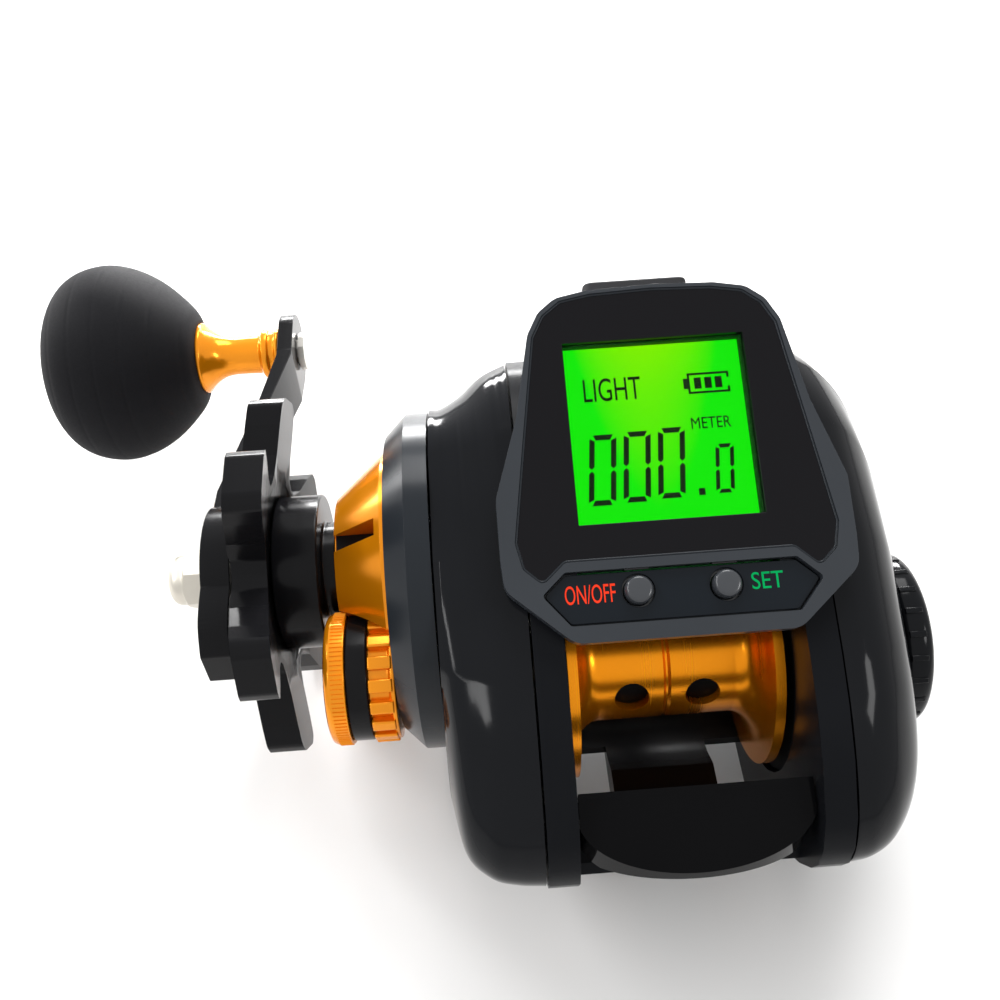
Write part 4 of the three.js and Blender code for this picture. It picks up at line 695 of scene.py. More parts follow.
def skin(name, rings, closed=False):
    """A surface through rings of points that all have the same count."""
    count = len(rings[0])
    vertices = [point for ring in rings for point in ring]
    faces = []
    for i in range(len(rings) if closed else len(rings) - 1):
        below, above = i * count, (i + 1) % len(rings) * count
        for j in range(count):
            k = (j + 1) % count
            faces.append((below + j, below + k, above + k, above + j))
    if not closed:
        last = (len(rings) - 1) * count
        faces += [tuple(range(count)), tuple(range(last, last + count))]
    return new_piece(name, vertices, faces)


def turned(name, profile, centre=(0.0, 0.0), sides=SIDES):
    """A piece turned about the X axis, its profile given as (radius, x) pairs."""
    closed = profile[0][0] > 0
    rings = []
    for radius, x in profile:
        angles = (2 * math.pi * k / sides for k in range(sides))
        rings.append([
            (x, centre[0] + radius * math.cos(a), centre[1] + radius * math.sin(a)) for a in angles
        ])
    return skin(name, rings, closed)


def plate(name, outline, start, end):
    """A plate along X whose outline is given as (y, z) pairs."""
    return skin(name, [[(x, y, z) for y, z in outline] for x in (start, end)])


def slab(name, outline, start, end):
    """A plate along Z whose outline is given as (x, y) pairs."""
    return skin(name, [[(x, y, z) for x, y in outline] for z in (start, end)])


def block(name, across, along, up):
    """A box, given as where it starts and ends along X, Y and Z."""
    (x0, x1), (y0, y1), (z0, z1) = across, along, up
    return slab(name, [(x0, y0), (x1, y0), (x1, y1), (x0, y1)], z0, z1)


def bar(name, radius, start, end, centre=(0.0, 0.0), sides=SMALL_SIDES):
    """A round bar along X."""
    return turned(name, [(0, start), (radius, start), (radius, end), (0, end)], centre, sides)


def ball(name, radius, x, centre):
    steps = SMALL_SIDES // 2
    angles = (math.pi * k / steps for k in range(steps + 1))
    profile = [(radius * abs(math.sin(a)), x - radius * math.cos(a)) for a in angles]
    profile[0], profile[-1] = (0, x - radius), (0, x + radius)
    return turned(name, profile, centre, SMALL_SIDES)


def move(piece, matrix):
    piece.data.transform(matrix)
    return piece


def flat_corners(piece):
    """Makes triangles of all faces, so that they stay flat when their corners move."""
    work = bmesh.new()
    work.from_mesh(piece.data)
    bmesh.ops.triangulate(work, faces=work.faces[:])
    work.to_mesh(piece.data)
    work.free()


def settle(piece):
    """Makes the result of the modifiers the piece's own mesh."""
    graph = bpy.context.evaluated_depsgraph_get()
    graph.update()
    done = bpy.data.meshes.new_from_object(
        piece.evaluated_get(graph), preserve_all_data_layers=True, depsgraph=graph,
    )
    old = piece.data
    piece.modifiers.clear()
    piece.data = done
    bpy.data.meshes.remove(old)
    return piece


def cut(piece, *tools, operation="DIFFERENCE"):
    """Cuts tools from a piece one by one, and removes them."""
    for tool in tools:
        modifier = piece.modifiers.new("cut", "BOOLEAN")
        modifier.operation = operation
        modifier.solver = "EXACT"
        modifier.object = tool
        settle(piece)
        bpy.data.objects.remove(tool)
    return piece


def both(piece, *tools):
    return cut(piece, *tools, operation="INTERSECT")


def union(piece, *tools):
    return cut(piece, *tools, operation="UNION")


def soften(piece, width, angle=SHARP_ANGLE):
    """Rounds the sharp edges and shades the rest smooth."""
    clean(piece.data, FLAT_ANGLE)
    if width:
        modifier = piece.modifiers.new("edge", "BEVEL")
        modifier.width = width * MM
        modifier.segments = EDGE_SEGMENTS
        modifier.limit_method = "ANGLE"
        modifier.angle_limit = math.radians(angle)
        modifier.use_clamp_overlap = True
        modifier.miter_outer = "MITER_ARC"
        settle(piece)
    piece.data.shade_smooth()
    piece.data.set_sharp_from_angle(angle=math.radians(angle))
    modifier = piece.modifiers.new("normals", "WEIGHTED_NORMAL")
    modifier.keep_sharp = True
    modifier.weight = 80
    return settle(piece)


def dress(piece, body, finish, slot, *nodes):
    """Gives a finished piece its material and body, and hides the imported nodes it stands for; its
    slot is not used.
    """
    piece.data.materials.clear()
    piece.data.materials.append(FINISHES[finish])
    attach(piece, body)
    if nodes:
        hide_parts(*nodes)
    return piece


def refinish(finish, *nodes):
    """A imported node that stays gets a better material."""
    for node in nodes:
        mesh = NODES[node].data
        mesh.materials.clear()
        mesh.materials.append(FINISHES[finish])


def copy_of(node, name, width):
    """A smooth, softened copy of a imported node."""
    mesh = NODES[node].data.copy()
    clean(mesh, COPY_FLAT_ANGLE)
    return soften(new_object(name, mesh), width)


def through(points, steps):
    """Points on a smooth curve through the given ones."""
    places = [Vector(point) for point in points]
    last = len(places) - 1
    ends = [places[0] * 2 - places[1], *places, places[-1] * 2 - places[-2]]
    curve = []
    for step in range(steps + 1):
        place = last * step / steps
        k = min(int(place), last - 1)
        curve.append(tuple(_between(*ends[k:k + 4], place - k)))
    return curve


def _between(p0, p1, p2, p3, share):
    """A point between p1 and p2, on a centripetal curve through all four."""
    gaps = [max((b - a).length, WELD) ** 0.5 for a, b in ((p0, p1), (p1, p2), (p2, p3))]
    start = ((p1 - p0) / gaps[0] - (p2 - p0) / (gaps[0] + gaps[1]) + (p2 - p1) / gaps[1]) * gaps[1]
    end = ((p2 - p1) / gaps[1] - (p3 - p1) / (gaps[1] + gaps[2]) + (p3 - p2) / gaps[2]) * gaps[1]
    bend = (p1 - p2) * 2 + start + end
    lean = (p2 - p1) * 3 - start * 2 - end
    return ((bend * share + lean) * share + start) * share + p1


def rounded(points, radius, steps=6):
    """A closed outline with its corners rounded."""
    outline = []
    count = len(points)
    for k in range(count):
        corner = Vector(points[k])
        back = Vector(points[k - 1]) - corner
        ahead = Vector(points[(k + 1) % count]) - corner
        bend = back.angle(ahead, math.pi)
        reach = min(radius / max(math.tan(bend / 2), WELD), back.length * 0.48, ahead.length * 0.48)
        first = corner + back.normalized() * reach
        final = corner + ahead.normalized() * reach
        for step in range(steps + 1):
            share = step / steps
            outline.append(tuple(first.lerp(corner, share).lerp(corner.lerp(final, share), share)))
    return outline


def side_point(share):
    """The Y and Z of a point given as shares of the body's length and height."""
    return share[0] * BODY_LENGTH, AXIS_HEIGHT + share[1] * BODY_HEIGHT


def side_outline():
    """The side view: the saddle on top, the front curve, the underside and the rear curve."""
    saddle = [side_point(share) for share in SADDLE[1:-1]]
    front = through([side_point(share) for share in FRONT_CURVE], CURVE_STEPS)
    rear = through([side_point(share) for share in REAR_CURVE], CURVE_STEPS)
    return saddle + front + rear


def area(points):
    """The area inside an outline, negative where the outline runs clockwise."""
    pairs = zip(points, points[1:] + points[:1])
    return sum(a[0] * b[1] - b[0] * a[1] for a, b in pairs) / 2


def inset(points, wall):
    """Each point of a closed outline moved inward by a wall."""
    turn = math.copysign(1.0, area(points))
    moved = []
    for k, (y, z) in enumerate(points):
        before, after = points[k - 1], points[(k + 1) % len(points)]
        along = Vector((after[0] - before[0], after[1] - before[1])).normalized()
        moved.append((y - along.y * wall * turn, z + along.x * wall * turn))
    return moved


def toward(points, centre, distance):
    """Each point moved towards a centre by a distance."""
    moved = []
    for y, z in points:
        away = Vector((y - centre[0], z - centre[1]))
        share = 1 - distance / away.length
        moved.append((centre[0] + away.x * share, centre[1] + away.y * share))
    return moved


def on_circle(points, radius, centre):
    """Points of a circle in the same directions from its centre as the given points."""
    moved = []
    for y, z in points:
        away = Vector((y - centre[0], z - centre[1])).normalized() * radius
        moved.append((centre[0] + away.x, centre[1] + away.y))
    return moved


def in_display(piece):
    """Moves a piece from the display's frame into the reel's."""
    place = Vector(DISPLAY_CENTRE) * MM
    return move(piece, Matrix.Translation(place) @ Matrix.Rotation(DISPLAY_TILT, 4, "X"))


def to_display(point):
    """A (y, z) point of the reel in the display's frame."""
    dy, dz = point[0] - DISPLAY_CENTRE[1], point[1] - DISPLAY_CENTRE[2]
    sine, cosine = math.sin(DISPLAY_TILT), math.cos(DISPLAY_TILT)
    return dy * cosine + dz * sine, dz * cosine - dy * sine


def mirrored(half):
    """A closed outline from its right half, given as shares of the face's half width."""
    scaled = [(x * FACE_HALF, y * FACE_HALF) for x, y in half]
    return scaled + [(-x, y) for x, y in reversed(scaled) if x > 0]


def new_tree(name, sockets):
    """A geometry tree with named inputs, as its graph and its inputs."""
    tree = bpy.data.node_groups.new(name, "GeometryNodeTree")
    for label, kind, default in sockets:
        socket = tree.interface.new_socket(name=label, in_out="INPUT", socket_type=kind)
        if default is not None:
            socket.default_value = default
    tree.interface.new_socket(name="Geometry", in_out="OUTPUT", socket_type="NodeSocketGeometry")
    graph = Graph(tree)
    given = tree.nodes.new("NodeGroupInput")
    return graph, {label: Wire(graph, given.outputs[label]) for label, _, _ in sockets}


def close_tree(graph, geometry, material):
    """Ends a geometry tree with real meshes that have their material."""
    real = graph.node("GeometryNodeRealizeInstances", {}, {"Geometry": geometry})
    done = graph.node("GeometryNodeSetMaterial", {}, {"Geometry": real, "Material": material})
    graph.node("NodeGroupOutput", {}, {"Geometry": done})


def run_tree(name, tree, values, finish):
    """A plain mesh object made by a geometry tree."""
    piece = new_object(name, bpy.data.meshes.new(name))
    modifier = piece.modifiers.new("shape", "NODES")
    modifier.node_group = tree
    values = {**values, "Material": FINISHES[finish]}
    for socket in tree.interface.items_tree:
        if socket.in_out == "INPUT" and socket.name in values:
            modifier[socket.identifier] = values[socket.name]
    return settle(piece)


def ring_tree():
    """Copies of one shape evenly round the X axis."""
    graph, given = new_tree("ring_of_copies", [
        ("Shape", "NodeSocketObject", None), ("Count", "NodeSocketInt", 12),
        ("Radius", "NodeSocketFloat", 0.01), ("Turn", "NodeSocketFloat", 0.0),
        ("Centre", "NodeSocketVector", (0.0, 0.0, 0.0)), ("Material", "NodeSocketMaterial", None),
    ])
    circle = graph.node("GeometryNodeMeshCircle", {}, {
        "Vertices": given["Count"], "Radius": given["Radius"],
    })
    shape = graph.node("GeometryNodeObjectInfo", {}, {"Object": given["Shape"]}, output="Geometry")
    outward = graph.node("GeometryNodeInputPosition")
    axes = {"axis": "X", "pivot_axis": "Z"}
    facing = graph.node("FunctionNodeAlignRotationToVector", axes, {"Vector": outward})
    copies = graph.node("GeometryNodeInstanceOnPoints", {}, {
        "Points": circle, "Instance": shape, "Rotation": facing,
    })
    spun = graph.node("ShaderNodeCombineXYZ", {}, {"Z": given["Turn"]})
    first = graph.node("GeometryNodeTransform", {}, {"Geometry": copies, "Rotation": spun})
    lying = graph.node("GeometryNodeTransform", {}, {
        "Geometry": first, "Rotation": (0.0, -math.pi / 2, 0.0), "Translation": given["Centre"],
    })
    close_tree(graph, lying, given["Material"])
    return graph.tree


def row_tree():
    """Copies of one shape in a straight row."""
    graph, given = new_tree("row_of_copies", [
        ("Shape", "NodeSocketObject", None), ("Count", "NodeSocketInt", 5),
        ("Start", "NodeSocketVector", (0.0, 0.0, 0.0)),
        ("Step", "NodeSocketVector", (0.0, 0.0, 0.001)),
        ("Material", "NodeSocketMaterial", None),
    ])
    line = graph.node("GeometryNodeMeshLine", {}, {
        "Count": given["Count"], "Start Location": given["Start"], "Offset": given["Step"],
    })
    shape = graph.node("GeometryNodeObjectInfo", {}, {"Object": given["Shape"]}, output="Geometry")
    copies = graph.node("GeometryNodeInstanceOnPoints", {}, {"Points": line, "Instance": shape})
    close_tree(graph, copies, given["Material"])
    return graph.tree


def thread_tree():
    """A raised thread that winds along the X axis and back."""
    graph, given = new_tree("crossing_thread", [
        ("Radius", "NodeSocketFloat", 0.0026), ("Length", "NodeSocketFloat", 0.02),
        ("Turns", "NodeSocketFloat", 4.0), ("Thickness", "NodeSocketFloat", 0.0002),
        ("Centre", "NodeSocketVector", (0.0, 0.0, 0.0)), ("Material", "NodeSocketMaterial", None),
    ])
    wire = graph.node("GeometryNodeCurvePrimitiveCircle", {}, {
        "Resolution": 8, "Radius": given["Thickness"],
    })
    threads = graph.tree.nodes.new("GeometryNodeJoinGeometry")
    for reverse in (False, True):
        spiral = graph.node("GeometryNodeCurveSpiral", {}, {
            "Resolution": 40, "Rotations": given["Turns"], "Start Radius": given["Radius"],
            "End Radius": given["Radius"], "Height": given["Length"], "Reverse": reverse,
        })
        strand = graph.node("GeometryNodeCurveToMesh", {}, {
            "Curve": spiral, "Profile Curve": wire, "Fill Caps": True,
        })
        graph.tree.links.new(strand.socket, threads.inputs[0])
    lying = graph.node("GeometryNodeTransform", {}, {
        "Geometry": Wire(graph, threads.outputs[0]), "Rotation": (0.0, math.pi / 2, 0.0),
        "Translation": given["Centre"],
    })
    close_tree(graph, lying, given["Material"])
    return graph.tree


def bead_tree():
    """A round bead along a curve."""
    graph, given = new_tree("bead_along_curve", [
        ("Path", "NodeSocketObject", None), ("Radius", "NodeSocketFloat", 0.0002),
        ("Material", "NodeSocketMaterial", None),
    ])
    path = graph.node("GeometryNodeObjectInfo", {}, {"Object": given["Path"]}, output="Geometry")
    wire = graph.node("GeometryNodeCurvePrimitiveCircle", {}, {
        "Resolution": 10, "Radius": given["Radius"],
    })
    bead = graph.node("GeometryNodeCurveToMesh", {}, {"Curve": path, "Profile Curve": wire})
    smooth = graph.node("GeometryNodeSetShadeSmooth", {}, {"Geometry": bead})
    close_tree(graph, smooth, given["Material"])
    return graph.tree


TREES = {}


def ring_of(name, shape, count, radius, centre, finish, turn=0.0):
    """Copies of a shape round the X axis.

    The shape's X points outward, and its Z runs against the reel's X.
    """
    values = {
        "Shape": shape, "Count": count, "Radius": radius * MM, "Turn": turn,
        "Centre": Vector(centre) * MM,
    }
    piece = run_tree(name, TREES["ring"], values, finish)
    bpy.data.objects.remove(shape)
    return piece


def closed_path(name, points):
    """A closed curve through points in millimetres."""
    data = bpy.data.curves.new(name, "CURVE")
    data.dimensions = "3D"
    spline = data.splines.new("POLY")
    spline.points.add(len(points) - 1)
    for place, point in zip(spline.points, points):
        place.co = (*(Vector(point) * MM), 1.0)
    spline.use_cyclic_u = True
    return new_object(name, data)


def screw_boss(name, cover, start, end, place, side):
    """A tube from the plate up to the cover's skin, round a screw's recess."""
    radius = SCREW_HEAD + GAP + (GEAR_BOSS if side < 0 else SCREW_BOSS)
    boss = bar(name, radius, start + side * GAP, end + side * OVER, place)
    return both(boss, cover)


def screw_holes(side, start, end, place, sink):
    """The tools that cut a screw's recess and the hole for its shank."""
    head = bar("head_hole", SCREW_HEAD + GAP, start + side * sink, end + side * OVER, place)
    shank = bar("shank_hole", SCREW_HEAD / 2 + GAP, start - side * OVER, end, place)
    return head, shank


def gear_cover_skin(name, wall, over):
    """The gear side cover's form, from the side outline down to the round seat of the cap."""
    end, start = span("gear_side_cover")
    outer = inset(side_outline(), GAP)
    outer = toward(outer, CAP_CENTRE, wall) if wall else outer
    rim = on_circle(outer, CAP_RADIUS + GAP - wall, CAP_CENTRE)
    rings = []
    for depth, rear, front in through(GEAR_RINGS, GEAR_RING_STEPS):
        ring = []
        for (y, z), (rim_y, rim_z) in zip(outer, rim):
            along = rear + (front - rear) * (y / BODY_LENGTH + 0.5)
            share = min(max(along + (CAVITY_LEAD * depth if wall else 0.0), 0.0), 1.0)
            x = start + (end - start) * depth
            ring.append((x, y + (rim_y - y) * share, z + (rim_z - z) * share))
        rings.append(ring)
    if over:
        rings.insert(0, [(start + over, y, z) for y, z in outer])
        rings.append([(end - over, y, z) for y, z in rim])
    return skin(name, rings)


def palm_cover_skin(name, wall, over):
    """The palm side cover's form, which shrinks towards its centre along X."""
    start, end = span("palm_side_cover")
    outline = inset(side_outline(), GAP)
    mid_y, mid_z = PALM_CENTRE
    rings = []
    for depth, share in through(PALM_RINGS, PALM_RING_STEPS):
        ring = [(mid_y + (y - mid_y) * share, mid_z + (z - mid_z) * share) for y, z in outline]
        ring = toward(ring, PALM_CENTRE, wall) if wall else ring
        x = start + depth * (end - start - wall)
        rings.append([(x, y, z) for y, z in ring])
    if over:
        rings.insert(0, [(start - over, y, z) for _, y, z in rings[0]])
    return skin(name, rings)


class REEL_OT_side_covers(Operator):
    """Builds the smooth gear side cover and palm side cover"""

    bl_idname = "reel.side_covers"
    bl_label = "Side covers"

    def execute(self, context):
        end, start = span("gear_side_cover")
        cover = gear_cover_skin("gear_cover_shell", 0.0, 0.0)
        places = [side_point(share) for share in GEAR_SCREWS]
        copies = [gear_cover_skin(f"gear_form_{k}", 0.0, 0.0) for k in range(len(places))]
        bosses = [
            screw_boss(f"gear_boss_{k}", copies[k], start - CAM_ROOM, end, place, -1)
            for k, place in enumerate(places)
        ]
        cut(cover, gear_cover_skin("gear_hollow", SIDE_WALL, OVER))
        union(cover, *bosses)
        for place in places:
            cut(cover, *screw_holes(-1, start, end, place, GEAR_SINK))
            out, back, up = DIMPLE_PLACE
            level = start - GEAR_SINK - out
            cut(cover, ball("dimple", DIMPLE_RADIUS, level, (place[0] + back, place[1] + up)))
        soften(cover, size("soft_edge"))
        dress(cover, "reel_body", "shell", "gloss_shell", "gear_side_cover")

        start, end = span("palm_side_cover")
        cover = palm_cover_skin("palm_cover_shell", 0.0, 0.0)
        place = side_point(PALM_SCREW)
        boss = screw_boss("palm_boss", palm_cover_skin("palm_form", 0.0, 0.0), start, end, place, 1)
        cut(cover, palm_cover_skin("palm_hollow", SIDE_WALL, OVER))
        union(cover, boss)
        cut(cover, *screw_holes(1, start, end, place, PALM_SINK))
        axis = middle("brake_plate")
        cut(cover, bar("stem_hole", DIAL_STEM + GAP, end - 2 * SIDE_WALL, end + OVER, axis))
        soften(cover, size("soft_edge"))
        dress(cover, "reel_body", "shell", "gloss_shell", "palm_side_cover")
        return {"FINISHED"}


class REEL_OT_gearbox_cap(Operator):
    """Builds the gearbox cap with its chamfer and its two bosses"""

    bl_idname = "reel.gearbox_cap"
    bl_label = "Gearbox cap"

    def execute(self, context):
        boss_end, inner = span("gearbox_cap")
        outer = span("tension_ring")[1] + GAP
        recess = CAP_RADIUS - CAP_SEAT
        cover_end = span("gear_side_cover")[0] - GAP
        axis = middle("brake_plate")
        drive = middle("drag_collar")
        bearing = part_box("anti_reverse_bearing")
        seat_start, seat_end = bearing[1].x / MM, bearing[0].x / MM
        bearing_radius = (bearing[1].y - bearing[0].y) / 2 / MM
        cap = turned("cap_shell", [
            (0, outer), (CAP_RADIUS - CAP_CHAMFER, outer), (CAP_RADIUS, outer + CAP_CHAMFER),
            (CAP_RADIUS, cover_end), (recess, cover_end), (recess, outer + CAP_WALL),
            (0, outer + CAP_WALL),
        ], CAP_CENTRE)
        union(
            cap,
            bar("bearing_boss", bearing_radius + GAP + SCREW_BOSS, seat_start, outer + 1, drive),
            bar("knob_boss", KNOB_BOSS, outer + 1, boss_end, axis),
        )
        cut(
            cap,
            bar("bearing_hole", bearing_radius + GAP, seat_start + OVER, seat_end - GAP, drive),
            bar("shaft_hole", SHAFT_RADIUS + GAP, seat_start, outer - OVER, drive),
            bar("spool_hole", SHAFT_RADIUS + GAP, inner + OVER, outer - GAP, axis),
            bar("spool_seat", SHAFT_RADIUS + GAP, outer, boss_end - OVER, axis),
        )
        dress(soften(cap, size("soft_edge")), "reel_body", "cap", "cap", "gearbox_cap")
        return {"FINISHED"}


class REEL_OT_frame(Operator):
    """Softens the frame and the foot, and finishes what is screwed to them"""

    bl_idname = "reel.frame"
    bl_label = "Frame and foot"

    def execute(self, context):
        for node, name, finish, slot in (
            ("frame", "frame_skin", "frame", "gloss_shell"),
            ("reel_foot", "foot_skin", "alloy", "black_alloy"),
            ("brake_plate", "brake_plate_skin", "matte", "gloss_shell"),
            ("guide_rod", "guide_rod_skin", "steel", "steel"),
            ("foot_screw_1", "foot_screw_1_skin", "steel", "steel"),
            ("foot_screw_2", "foot_screw_2_skin", "steel", "steel"),
        ):
            dress(copy_of(node, name, size("edge")), "reel_body", finish, slot, node)
        return {"FINISHED"}


class REEL_OT_cover_screws(Operator):
    """Builds the three cover screws with crossed drives"""

    bl_idname = "reel.cover_screws"
    bl_label = "Cover screws"

    def execute(self, context):
        for node, side in (
            ("gear_cover_screw_1", -1), ("gear_cover_screw_2", -1), ("palm_cover_screw", 1),
        ):
            low, high = span(node)
            inner, outer = (high, low) if side < 0 else (low, high)
            place = middle(node)
            seat = outer - side * SCREW_HEAD_HEIGHT
            screw = turned(node + "_head", [
                (0, inner), (SCREW_SHANK, inner), (SCREW_SHANK, seat), (SCREW_HEAD, seat),
                (SCREW_HEAD, outer - side * 0.5), (SCREW_HEAD * 0.8, outer - side * 0.12),
                (0, outer),
            ], place, SMALL_SIDES)
            slot_end = outer - side * SCREW_CROSS_DEPTH
            for wide, tall in (SCREW_CROSS, SCREW_CROSS[::-1]):
                cut(screw, block(
                    "drive", sorted((slot_end, outer + side)),
                    (place[0] - wide, place[0] + wide), (place[1] - tall, place[1] + tall),
                ))
            dress(soften(screw, 0.08), "reel_body", "steel", "steel", node)
        return {"FINISHED"}


class REEL_OT_thumb_bar(Operator):
    """Builds the curved thumb bar with its tab"""

    bl_idname = "reel.thumb_bar"
    bl_label = "Thumb bar"

    def execute(self, context):
        rear = THUMB_FRONT + THUMB_REACH
        low = THUMB_TOP - THUMB_DROP
        top_curve = through([
            (-THUMB_FRONT, THUMB_TOP),
            (-THUMB_FRONT - THUMB_REACH * 0.45, THUMB_TOP - THUMB_DROP * 0.38),
            (-rear, low),
        ], 14)
        side = plate("thumb_side", [
            (-THUMB_FRONT, THUMB_TOP - THUMB_THICKNESS), *top_curve,
            (-rear, low - THUMB_THICKNESS * 0.4),
            (-rear + THUMB_REACH * 0.3, low - THUMB_THICKNESS * 0.55),
        ], -THUMB_HALF, THUMB_HALF)
        plan = [(THUMB_HALF, -THUMB_FRONT + OVER), (-THUMB_HALF, -THUMB_FRONT + OVER)]
        for k in range(SMALL_SIDES + 1):
            across = -math.cos(math.pi * k / SMALL_SIDES)
            back = THUMB_EDGE + (1 - THUMB_EDGE) * math.sqrt(1 - 0.96 * across * across)
            plan.append((THUMB_HALF * across, -THUMB_FRONT - THUMB_REACH * back))
        both(side, slab("thumb_plan", plan, low - THUMB_THICKNESS * 2, THUMB_TOP + OVER))
        side.name = "thumb_rest"
        soften(side, size("soft_edge"))
        tab = block(
            "thumb_tab", (span("thumb_bar")[0], -THUMB_HALF + OVER),
            (-THUMB_FRONT - 2.2, -THUMB_FRONT),
            (THUMB_TOP - THUMB_THICKNESS - 1.5, THUMB_TOP - THUMB_THICKNESS / 2),
        )
        dress(side, "clutch_bar", "thumb", "gloss_shell", "thumb_bar")
        dress(soften(tab, size("edge")), "clutch_bar", "shell", "gloss_shell")
        return {"FINISHED"}


class REEL_OT_spool(Operator):
    """Turns the spool, cuts its rows of holes, and lines the arbor with black tubes of painted
    shade
    """

    bl_idname = "reel.spool"
    bl_label = "Spool"

    def execute(self, context):
        low, half = span("spool")
        axis = middle("brake_plate")
        bore = SPOOL_HUB - SPOOL_HUB_WALL
        inner = ARBOR_RADIUS - ARBOR_WALL
        flange = half - FLANGE_THICKNESS
        top = ARBOR_RADIUS + (flange - ARBOR_HALF) * FLARE_SLOPE
        flare = []
        for k in range(1, FLARE_STEPS):
            angle = math.pi / 2 * k / FLARE_STEPS
            flare.append((
                ARBOR_RADIUS + (top - ARBOR_RADIUS) * (1 - math.cos(angle)),
                ARBOR_HALF + (flange - ARBOR_HALF) * math.sin(angle),
            ))
        spool = turned("spool_body", [
            (bore, low), (SPOOL_HUB, low), (SPOOL_HUB, -WEB_HALF), (inner, -WEB_HALF),
            (inner, -ARBOR_HALF), (top - FLANGE_THICKNESS, -half), (FLANGE_RADIUS, -half),
            (FLANGE_RADIUS, -flange), (top, -flange),
            *[(radius, -x) for radius, x in reversed(flare)], (ARBOR_RADIUS, -ARBOR_HALF),
            (ARBOR_RADIUS, -SEAM_HALF), (ARBOR_RADIUS - SEAM_DEPTH, -0.12),
            (ARBOR_RADIUS - SEAM_DEPTH, 0.12), (ARBOR_RADIUS, SEAM_HALF),
            (ARBOR_RADIUS, ARBOR_HALF), *flare, (top, flange), (FLANGE_RADIUS, flange),
            (FLANGE_RADIUS, half), (top - FLANGE_THICKNESS, half), (inner, ARBOR_HALF),
            (inner, WEB_HALF), (SPOOL_HUB, WEB_HALF), (SPOOL_HUB, half), (bore, half),
        ], axis)
        for side in (-1, 1):
            drill = slab("drill", circle(HOLE_RADIUS, SMALL_SIDES), -ARBOR_WALL * 2, ARBOR_WALL * 2)
            move(drill, Matrix.Rotation(math.pi / 2, 4, "Y"))
            centre = (side * HOLE_OFFSET, *axis)
            holes = ring_of("drills", drill, HOLE_COUNT, ARBOR_RADIUS, centre, "spool", HOLE_TURN)
            cut(spool, holes)
        dress(soften(spool, size("edge"), 28.0), "spool_unit", "spool", "orange_alloy", "spool")
        # Black tubes inside each half of the arbor are painted shade, so the holes look dark
        for side in (-1, 1):
            ends = sorted((side * (WEB_HALF + GAP), side * (ARBOR_HALF - GAP)))
            liner = bar("liner", inner - SHADE_TUBE_OUTER, *ends, axis, SIDES)
            low_end, high_end = ends[0] - OVER, ends[1] + OVER
            cut(liner, bar("liner_bore", inner - SHADE_TUBE_INNER, low_end, high_end, axis, SIDES))
            dress(liner, "spool_unit", "matte", "orange_alloy")
        refinish("steel", "spool_shaft", "counter_magnet")
        return {"FINISHED"}


def circle(radius, sides):
    """The corners of a many-sided circle about the origin."""
    return [
        (radius * math.cos(2 * math.pi * k / sides), radius * math.sin(2 * math.pi * k / sides))
        for k in range(sides)
    ]


class REEL_OT_drive_cone(Operator):
    """Turns the orange cone, with its scallop and its slot, and lays a black block of painted shade
    on the slot's floor
    """

    bl_idname = "reel.drive_cone"
    bl_label = "Drive cone"

    def execute(self, context):
        tip, base = span("drive_bushing_cone")
        centre = middle("drag_collar")
        cone = turned("cone", [
            (0, base), (CONE_BASE, base), (CONE_BASE, base - CONE_RIM), (CONE_TIP, tip), (0, tip),
        ], centre)
        knob = middle("tension_cap")
        cut(
            cone,
            bar("scallop", TENSION_RADIUS + CONE_ROOM, base + OVER, tip - OVER, knob, SIDES),
            bar("bore", SHAFT_RADIUS + CONE_ROOM, base + OVER, tip - OVER, centre),
        )
        shift = Matrix.Translation(Vector((0, *centre)) * MM)
        turn = shift @ Matrix.Rotation(CONE_SLOT_TURN, 4, "X")
        reach = (CONE_TIP - CONE_SLOT_DEPTH, CONE_BASE)
        slot = block("slot", (tip - OVER, base - 2 * CONE_RIM), reach, (-CONE_SLOT, CONE_SLOT))
        cut(cone, move(slot, turn))
        soften(cone, size("edge"))
        dress(cone, "reel_body", "orange", "orange_alloy", "drive_bushing_cone")
        # A black block on the slot's floor is painted shade, to make the slot look dark
        slot_shade_block = block(
            "slot_seal", (tip + GAP, base - 2 * CONE_RIM - GAP),
            (CONE_TIP - SLOT_SHADE_DEPTHS[0], CONE_TIP - SLOT_SHADE_DEPTHS[1]),
            (-CONE_SLOT - SLOT_SHADE_OVER, CONE_SLOT + SLOT_SHADE_OVER),
        )
        dress(move(slot_shade_block, turn), "reel_body", "matte", "gloss_shell")
        return {"FINISHED"}


